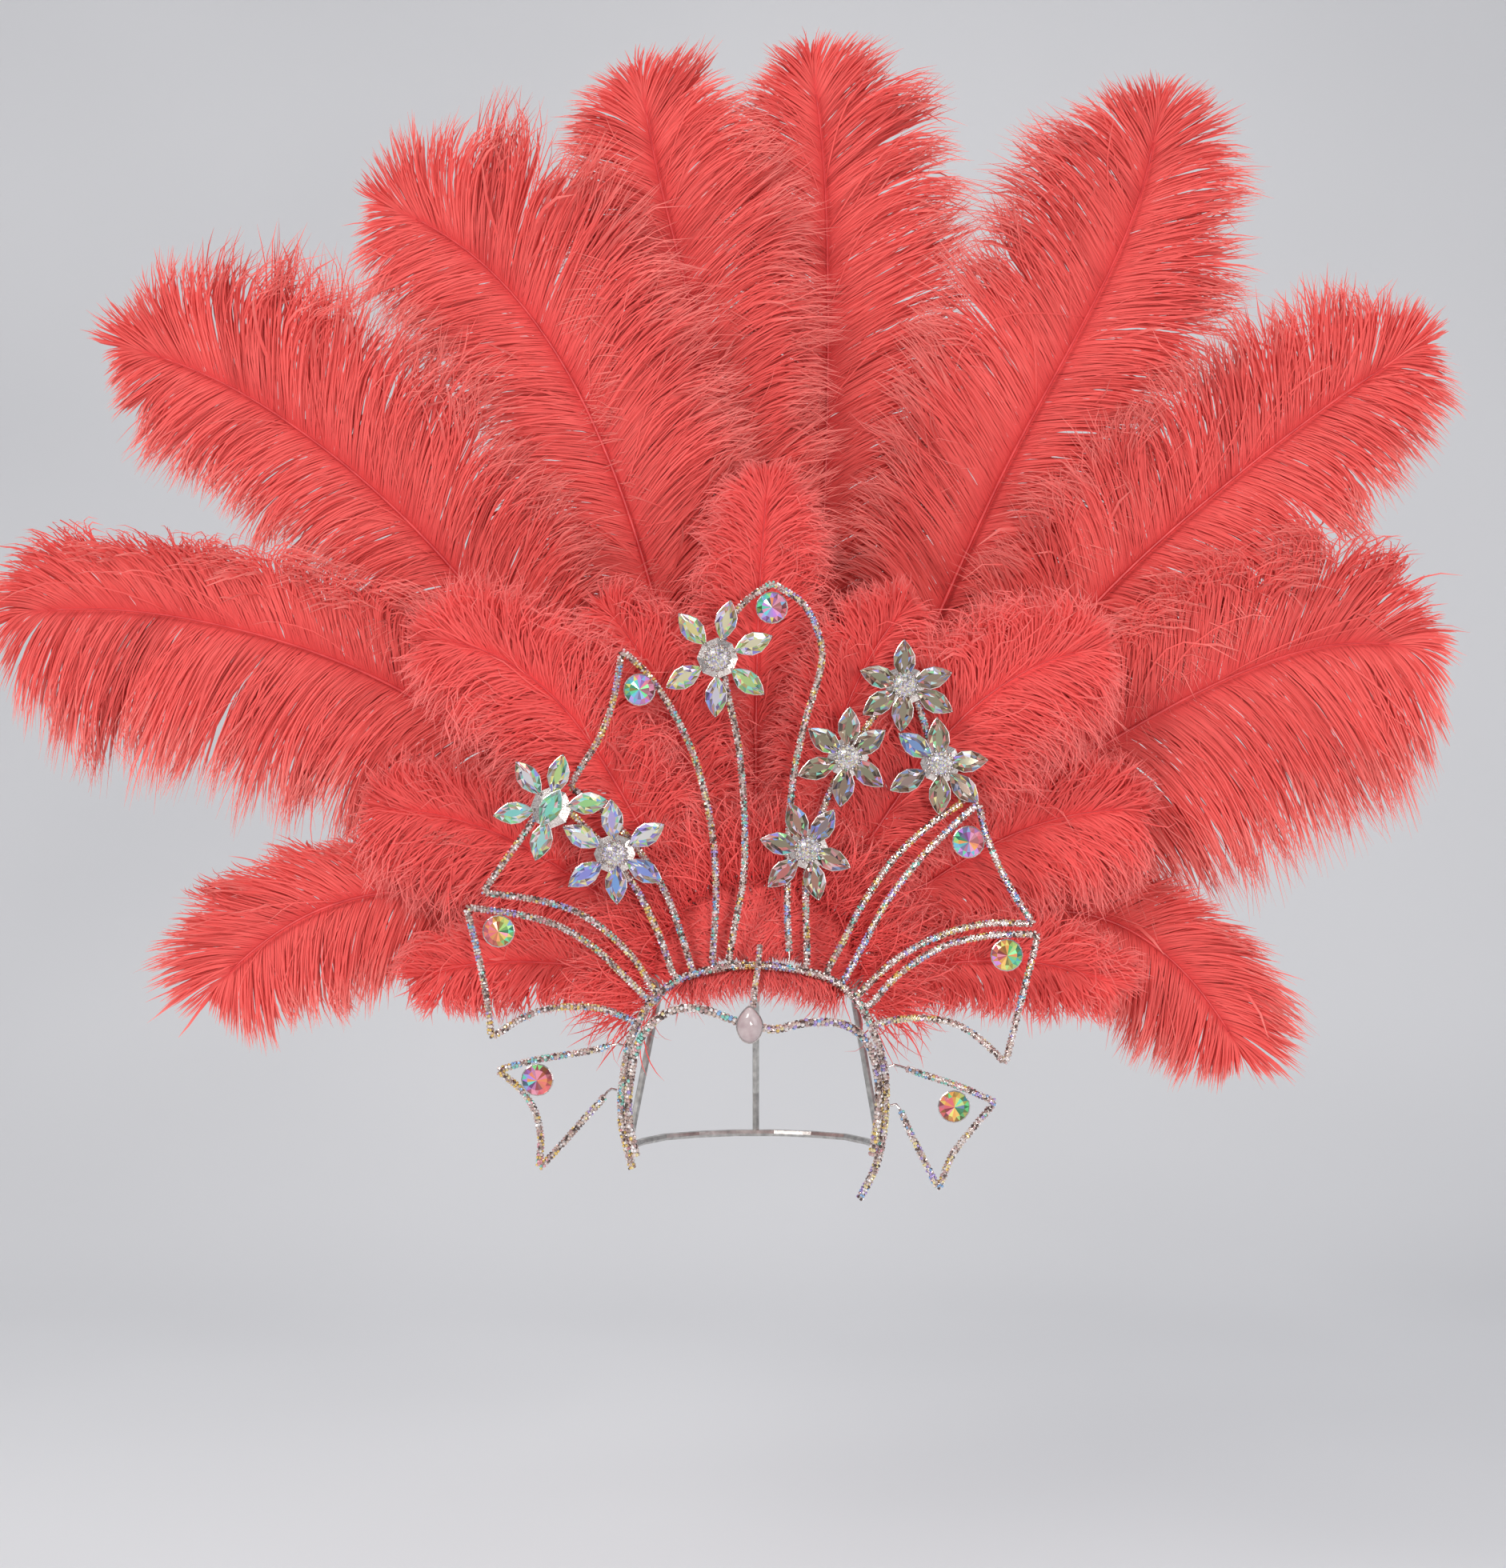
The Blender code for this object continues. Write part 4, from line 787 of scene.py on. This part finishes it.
def addRope(name, path, diameter, node, seed, bareEnds=0.0, bareLast=0.0, stone=rope["stone"]):
    # stones round a silver core, which thins to bare wire at the ends that have none
    rng = np.random.default_rng(seed)
    total = lengthsAlong(path)[-1]

    def covered(along):
        return (along >= bareEnds) & (along <= total - max(bareEnds, bareLast))

    stones = ropeStones(path, diameter, stone, covered, rng)
    core = evenPoints(path, rope["coreStep"])
    along = lengthsAlong(core)
    radius = np.where(covered(along), diameter / 2 - rope["sink"], rope["bare"] / 2)
    tube = tubeArrays(core, radius, 6, 0.5)
    points, faces, uv, slots = joined([(*stones, 0), (*tube, 1)])
    piece = newPiece(name, points, faces, uv, [rhinestone, silver], slots)
    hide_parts(node)
    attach(piece, "root")


browCurve = browPath()
addRope("rope_arch", archCurve, rope["arch"], "crown_arch", 301)
addRope("rope_brow", browCurve, rope["arch"], "brow_strand", 302, stone=rope["large"])
centerEnd = np.array(centerRoute) * mm
nearestBrow = browCurve[np.argmin(np.linalg.norm(browCurve - centerEnd[-1], axis=1))]
towards = unit(centerEnd[-1] - nearestBrow)
centerEnd = np.vstack([centerEnd, nearestBrow + towards * (rope["arch"] / 2 + petalSet["gap"])])
addRope("rope_center", denseCurve(centerEnd), rope["petal"] * rope["thin"], "center_strand", 303)
for index, (name, petal) in enumerate(petals.items()):
    bareEnds = rope["bareLength"] if petal.get("bare") else 0.0
    bareLast = rope["bareTop"] if name == "petal_center" else 0.0
    addRope("rope_" + name, petalPath(petal), rope["petal"], name, 310 + index, bareEnds, bareLast)
print("ropes made")

addCollar()
addSkirt()
addDown()
print("fluff and down made")


# Stones

# The glint share of the pointed stones gives painted glints.
navette = dict(
    length=28 * mm, width=15 * mm, height=6.0 * mm, sides=14, paintedGlints=0.24, rise=0.3 * mm, across=3.2 * mm,
    acrossSetting=2.9 * mm, tipBall=0.75, tipIn=0.8 * mm, tipForward=2.4 * mm)
cluster = dict(
    base=14 * mm, baseHeight=1.8 * mm, height=8 * mm, sink=1.4 * mm, gem=1.65 * mm, gemHeight=1.5 * mm,
    ball=1.5 * mm, balls=16, ballRing=8.4 * mm, ballShare=0.85, ballForward=3.6 * mm, sides=16)
# Stones of the cluster: count, radius of the ring in mm, share of the height
clusterRings = [(1, 0.0, 1.0), (6, 3.2, 0.90), (12, 6.3, 0.62)]
# Silver dome under them: radius and height in mm
domeLevels = [(8.6, 1.6), (8.2, 3.4), (6.4, 4.6), (3.4, 6.0), (1.2, 6.5)]
# Outlines of the pointed stone and its setting: share of the length, width and height
stoneLevels = [(0.96, 0.94, 0.12), (0.99, 0.98, 0.30), (0.74, 0.62, 0.72), (0.50, 0.34, 1.0)]
settingLevels = [(1.0, 1.0, 0.0), (1.02, 1.05, 0.14), (1.02, 1.05, 0.30), (0.96, 0.94, 0.34)]
# shade lifts the painted facet light, and the glint share gives painted glints
rivoli = dict(radius=11 * mm, height=7 * mm, sides=16, turn=1.1, spread=0.07, shade=0.12, paintedGlints=0.16)
# Rings of the round stone and its setting: share of the radius and of the height
rivoliLevels = [(0.93, 0.22), (0.95, 0.36), (0.62, 0.68)]
rivoliSetting = [(0.82, 0.0), (1.0, 0.24), (1.0, 0.36), (0.93, 0.42), (0.93, 0.24)]
drop = dict(width=18 * mm, length=25 * mm, height=7.5 * mm, sides=40, narrow=0.42, edge=0.93, foot=0.25)
dropSetting = [(0.92, 0.0), (1.0, 0.10), (1.0, 0.26), (0.93, 0.34), (0.92, 0.2)]


def facets(rings, tip=None):
    # triangles between rings of equal count, each (n, 3), and over the last ring to its middle or a tip
    parts = []
    for low, high in zip(rings, rings[1:]):
        lowNext = np.roll(low, -1, axis=0)
        highNext = np.roll(high, -1, axis=0)
        parts += [np.stack([low, lowNext, high], axis=1), np.stack([lowNext, highNext, high], axis=1)]
    last = rings[-1]
    top = np.broadcast_to(last.mean(axis=0) if tip is None else tip, last.shape)
    parts.append(np.stack([last, np.roll(last, -1, axis=0), top], axis=1))
    return np.concatenate(parts)


def facetArrays(triangles, tone, spread, rng, shade=0.0, paintedGlints=0.0, flatTop=0):
    # every facet has its own corners, a random painted brightness as U, which paints reflections on light and
    # dark facets, and a tint near the stone's tone as V.
    # A share of painted glints takes any tint and is bright; shade shifts the painted brightness, and the
    # flat top gets an even painted brightness.
    count = len(triangles)
    paintedGlint = rng.random(count) < paintedGlints
    paintedFacetLight = np.where(paintedGlint, 0.95, np.clip(rng.beta(1.5, 1.2, count) + shade, 0.02, 0.98))
    tint = np.where(paintedGlint, rng.random(count), tone + rng.normal(0.0, spread, count)) % 1.0
    if flatTop:
        paintedFacetLight[-flatTop:] = 0.62 + shade
        tint[-flatTop:] = tone % 1.0
    uv = np.column_stack([np.repeat(paintedFacetLight, 3), np.repeat(np.clip(tint, 0.01, 0.99), 3)])
    uv += np.tile([[0.0, 0.0], [0.004, 0.0], [0.0, 0.004]], (count, 1))
    return triangles.reshape(-1, 3), [np.arange(count * 3).reshape(-1, 3)], uv


def outlineRing(x, z, forward):
    # an outline in a plane across Y
    return np.column_stack([x, np.full(len(x), -forward), z])


def roundRing(angle, radius, forward):
    return outlineRing(np.cos(angle) * radius, np.sin(angle) * radius, forward)


def seatOf(node):
    # middle of the node's rear face
    low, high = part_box(node)
    return np.array([(low[0] + high[0]) / 2, high[1], (low[2] + high[2]) / 2])


def placed(triangles, degrees, at):
    # turned about Y, then moved
    angle = math.radians(degrees)
    turned = triangles.copy()
    turned[..., 0] = triangles[..., 0] * math.cos(angle) - triangles[..., 2] * math.sin(angle)
    turned[..., 2] = triangles[..., 0] * math.sin(angle) + triangles[..., 2] * math.cos(angle)
    return turned + np.asarray(at)


def navetteRings(levels):
    # pointed oval: z = half width * (1 - |x|^1.75) over the half length, both ways round
    angle = roundAngles(navette["sides"])
    x = np.cos(angle)
    z = np.sign(np.sin(angle)) * (1.0 - np.abs(x) ** 1.75)
    halfX = navette["length"] / 2
    halfZ = navette["width"] / 2
    height = navette["height"]
    return [outlineRing(x * halfX * sx, z * halfZ * sz, height * share) for sx, sz, share in levels]


def ballTriangles(radius):
    # octahedron with each face split in four, pushed out to a ball
    axis = np.array([(1, 0, 0), (0, 1, 0), (-1, 0, 0), (0, -1, 0)], float)
    faces = []
    for a, b in zip(axis, np.roll(axis, -1, axis=0)):
        faces += [(a, b, (0, 0, 1)), (b, a, (0, 0, -1))]
    faces = np.array(faces, float)
    a, b, c = faces[:, 0], faces[:, 1], faces[:, 2]
    ab, bc, ca = (a + b) / 2, (b + c) / 2, (c + a) / 2
    corners = ((a, ab, ca), (ab, b, bc), (ca, bc, c), (ab, bc, ca))
    split = np.concatenate([np.stack(three, axis=1) for three in corners])
    return unit(split) * radius


def smallStone(radius, height):
    # eight sides up to a table of 0.55 of the radius
    levels = ((1.0, 0.0), (1.0, 0.35), (0.55, 1.0))
    return facets([roundRing(roundAngles(8), radius * s, height * h) for s, h in levels])


# Flowers: middle, tint of the coat and its spread, how light the stones are (partly the smoke of the crystal,
# partly painted facet light), each stone's angle and reach, and across is the angle of a stone that lies over
# the middle in place of a cluster
flowers = {
    "flower_side_left": dict(at=(-138, 116), across=62, tone=0.08, spread=0.16, shade=0.16, stones=[
        (127, 39), (77, 37), (7, 39), (-106, 37), (188, 39)]),
    "flower_mid_left": dict(at=(-95, 85), tone=0.53, spread=0.13, shade=0.14, stones=[
        (94, 37), (31, 39), (-30, 37), (-87, 34), (-145, 38), (152, 39)]),
    "flower_top": dict(at=(-26, 217), tone=0.33, spread=0.10, shade=0.10, stones=[
        (77, 40), (22, 40), (-38, 40), (-92, 40), (210, 40), (131, 40)]),
    "flower_low_right": dict(at=(35, 88), tone=0.80, spread=0.10, shade=-0.02, stones=[
        (112, 34), (57, 32), (-23, 31), (-78, 35), (-137, 37), (168, 33)]),
    "flower_mid_right": dict(at=(62, 150), tone=0.78, spread=0.07, shade=-0.04, stones=[
        (88, 34), (36, 31), (-40, 31), (-99, 34), (200, 36), (144, 33)]),
    "flower_upper_right": dict(at=(101, 199), tone=0.74, spread=0.06, shade=0.02, stones=[
        (91, 31), (15, 33), (-29, 37), (-95, 32), (215, 35), (162, 32)]),
    "flower_side_right": dict(at=(125, 146), tone=0.73, spread=0.07, shade=0.04, stones=[
        (95, 31), (4, 32), (-47, 37), (-92, 35), (208, 39), (145, 35)]),
}


def addFlower(name, flower, seed):
    # pointed stones in silver settings round a disc, which carries one more of them or a dome of small
    # stones with a ring of silver balls
    rng = np.random.default_rng(seed)
    x = flower["at"][0] * mm
    z = flower["at"][1] * mm
    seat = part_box(name)[1][1]
    stone = facets(navetteRings(stoneLevels))
    setting = facets(navetteRings(settingLevels))
    ball = ballTriangles(cluster["ball"])
    tone = flower["tone"]
    spread = flower["spread"]
    parts = []

    def addGem(triangles, *look):
        parts.append((*facetArrays(triangles, *look), 0))

    def addSilver(triangles):
        parts.append((*facetArrays(triangles, 0.5, 0.0, rng), 1))

    def spot(radius, angle, forward):
        return np.array([x + radius * math.cos(angle), seat - forward, z + radius * math.sin(angle)])

    for degrees, reach in flower["stones"]:
        middle = reach * mm - navette["length"] / 2
        angle = math.radians(degrees)
        tint = tone + rng.normal(0, 0.6 * spread)
        look = (tint, spread, rng, flower["shade"], navette["paintedGlints"], navette["sides"])
        addGem(placed(stone, degrees, spot(middle, angle, navette["rise"])), *look)
        addSilver(placed(setting, degrees, spot(middle, angle, 0.0)))
        for share in (-1.0, 1.0):
            tip = middle + share * (navette["length"] / 2 - navette["tipIn"])
            addSilver(ball * navette["tipBall"] + spot(tip, angle, navette["tipForward"]))
    addSilver(smallStone(cluster["base"], cluster["baseHeight"]) + spot(0.0, 0.0, 0.0))
    if "across" in flower:
        across = flower["across"]
        # the stone across the middle: 0.2 lifts its painted facet light and 0.1 is its share of painted
        # glints
        look = (0.12, 0.06, rng, 0.2, 0.1, navette["sides"])
        addGem(placed(stone, across, spot(0.0, 0.0, navette["across"])), *look)
        addSilver(placed(setting, across, spot(0.0, 0.0, navette["acrossSetting"])))
    else:
        gem = smallStone(cluster["gem"], cluster["gemHeight"])
        for ring, (count, radius, share) in enumerate(clusterRings):
            for index in range(count):
                angle = 2 * math.pi * (index + 0.5 * ring) / count
                forward = (cluster["height"] - cluster["sink"]) * share
                # small stones lifted by 0.30 of painted facet light, with 0.12 of painted glints
                addGem(gem + spot(radius * mm, angle, forward), 0.40, 0.05, rng, 0.30, 0.12)
        turns = roundAngles(cluster["sides"])
        dome = facets([roundRing(turns, r * mm, h * mm) for r, h in domeLevels])
        addSilver(dome + spot(0.0, 0.0, 0.0))
        for index in range(cluster["balls"]):
            angle = 2 * math.pi * index / cluster["balls"]
            at = spot(cluster["ballRing"], angle, cluster["ballForward"])
            addSilver(ball * cluster["ballShare"] + at)
    points, faces, uv, slots = joined(parts)
    piece = newPiece("stones_" + name, points, faces, uv, [crystal, silver], slots)
    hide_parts(name)
    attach(piece, "root")


for index, (name, flower) in enumerate(flowers.items()):
    addFlower(name, flower, 400 + index)
print("flowers made")


def addRivoli(name, tone, seed):
    # round stone cut in radial facets up to a point in the middle, in a silver ring. Its tint changes
    # with the angle, alike above and below.
    rng = np.random.default_rng(seed)
    middle = seatOf(name)
    angle = roundAngles(rivoli["sides"])
    r = rivoli["radius"]
    h = rivoli["height"]
    turns = (0.0, 0.0, np.pi / rivoli["sides"])
    stone = [roundRing(angle + turn, r * s, h * f) for turn, (s, f) in zip(turns, rivoliLevels)]
    ring = [roundRing(angle, r * s, h * f) for s, f in rivoliSetting]
    gem = facets(stone, tip=np.array([0.0, -h, 0.0]))
    around = np.arctan2(gem[:, :, 2].mean(axis=1), gem[:, :, 0].mean(axis=1)) / (2 * np.pi)
    tint = tone + rivoli["turn"] * np.abs(around)
    cut = facetArrays(gem + middle, tint, rivoli["spread"], rng, rivoli["shade"], rivoli["paintedGlints"])
    parts = [(*cut, 0), (*facetArrays(facets(ring) + middle, 0.5, 0.0, rng), 1)]
    points, faces, uv, slots = joined(parts)
    piece = newPiece("stone_" + name, points, faces, uv, [roundCrystal, silver], slots)
    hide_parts(name)
    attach(piece, "root")


rivolis = dict(
    rivoli_center=0.86, rivoli_upper_left=0.90, rivoli_lower_left=0.38, rivoli_ear_left=0.70,
    rivoli_side_right=0.84, rivoli_lower_right=0.30, rivoli_ear_right=0.36)
for index, (name, tone) in enumerate(rivolis.items()):
    addRivoli(name, tone, 500 + index)


def addDrop():
    # pear outline narrowed towards its point, raised as a dome, in a silver rim
    middle = seatOf("brow_drop")
    angle = np.pi / 2 + roundAngles(drop["sides"])
    narrow = 1.0 - drop["narrow"] * np.maximum(0.0, np.sin(angle)) ** 1.5
    x = drop["width"] / 2 * narrow * np.cos(angle)
    z = drop["length"] / 2 * np.sin(angle)
    climb = np.linspace(0.0, np.pi / 2, 9)[:-1]
    levels = zip(drop["edge"] * np.cos(climb), drop["foot"] + (1.0 - drop["foot"]) * np.sin(climb))
    dome = [outlineRing(x * s, z * s, drop["height"] * f) for s, f in levels]
    rim = [outlineRing(x * s, z * s, drop["height"] * f) for s, f in dropSetting]
    count = len(x)
    points = np.vstack(dome + [[[0.0, -drop["height"], 0.0]]]) + middle
    quads = ringQuads(len(dome), count)[:, [0, 3, 2, 1]]
    last = np.arange(count) + (len(dome) - 1) * count
    cap = np.stack([last, np.roll(last, -1), np.full(count, len(points) - 1)], axis=-1)
    uv = np.full((len(points), 2), 0.5)
    stone = newPiece("milky_drop", points, [quads, cap], uv, [milky], smooth=True)
    rng = np.random.default_rng(9)
    setting = newPiece("drop_setting", *facetArrays(facets(rim) + middle, 0.5, 0.0, rng), [silver])
    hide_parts("brow_drop")
    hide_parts("brow_drop")
    for piece in (stone, setting):
        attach(piece, "root")


addDrop()
print("round stones and drop made")

# The hidden back frame keeps its solid
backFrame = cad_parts["back_frame"]
backFrame.data.materials.clear()
backFrame.data.materials.append(wire)


# Studio

studio = dict(
    floor=-0.62, wall=3.0, bend=1.0, halfWidth=6.0, front=-5.0, height=4.5,
    camera=(-0.002, -1.8, 0.132), lens=61.2, sensor=36.0, farthest=50.0, air=(0.92, 0.94, 1.0, 1.0),
    airStrength=0.44)
# Name, place, target, size, watts and colour
lights = [
    ("key", (-1.5, -2.3, 1.7), (0, 0, 0.2), 0.9, 40, (1.0, 0.98, 0.95)),
    ("fill", (2.0, -2.2, 0.6), (0, 0, 0.15), 1.5, 13, (0.96, 0.98, 1.0)),
    ("top", (0.2, 0.4, 2.4), (0, 0.1, 0.2), 1.4, 24, (1.0, 1.0, 1.0)),
    ("spark", (0.5, -2.6, 0.1), (0, 0, 0.1), 0.25, 13, (1.0, 0.97, 0.92))]


def addStudio():
    # floor and wall joined by a quarter circle
    angle = np.linspace(0.0, np.pi / 2, 16)
    bend = studio["bend"]
    y = np.r_[studio["front"], studio["wall"] - bend + bend * np.sin(angle), studio["wall"]]
    z = np.r_[0.0, bend - bend * np.cos(angle), studio["height"]] + studio["floor"]
    left = np.column_stack([np.full(len(y), -studio["halfWidth"]), y, z])
    right = np.column_stack([np.full(len(y), studio["halfWidth"]), y, z])
    points = np.vstack([left, right])
    row = np.arange(len(y) - 1)
    quads = np.stack([row, row + len(y), row + len(y) + 1, row + 1], axis=-1)
    pale = [(0.3, (0.82, 0.82, 0.83)), (0.7, (0.86, 0.86, 0.87))]
    material = noiseMaterial("paleBackdrop", 0.9, 0.0, (1.5, 1.0), pale)
    backdrop = newPiece("backdrop", points, quads, np.zeros((len(points), 2)), [material], smooth=True)


def addLight(name, place, target, size, power, color):
    # a square light turned so that it faces its target
    light = bpy.data.lights.new(name, "AREA")
    light.size = size
    light.energy = power
    light.color = color
    lamp = bpy.data.objects.new(name, light)
    lamp.location = place
    direction = np.array(target, float) - np.array(place, float)
    yaw = math.atan2(direction[1], direction[0]) - math.pi / 2
    pitch = math.atan2(direction[2], math.hypot(direction[0], direction[1]))
    lamp.rotation_euler = (math.pi / 2 + pitch, 0.0, yaw)
    bpy.context.scene.collection.objects.link(lamp)


addStudio()
for light in lights:
    addLight(*light)
world = bpy.data.worlds.new("studioAir")
bpy.context.scene.world = world
world.use_nodes = True
air = world.node_tree.nodes["Background"].inputs
air["Color"].default_value = studio["air"]
air["Strength"].default_value = studio["airStrength"]

cameraData = bpy.data.cameras.new("camera")
cameraData.lens = studio["lens"]
cameraData.sensor_width = studio["sensor"]
cameraData.clip_end = studio["farthest"]
camera = bpy.data.objects.new("camera", cameraData)
camera.location = studio["camera"]
camera.rotation_euler = (math.pi / 2, 0.0, 0.0)
bpy.context.scene.collection.objects.link(camera)
bpy.context.scene.camera = camera
print("studio made")
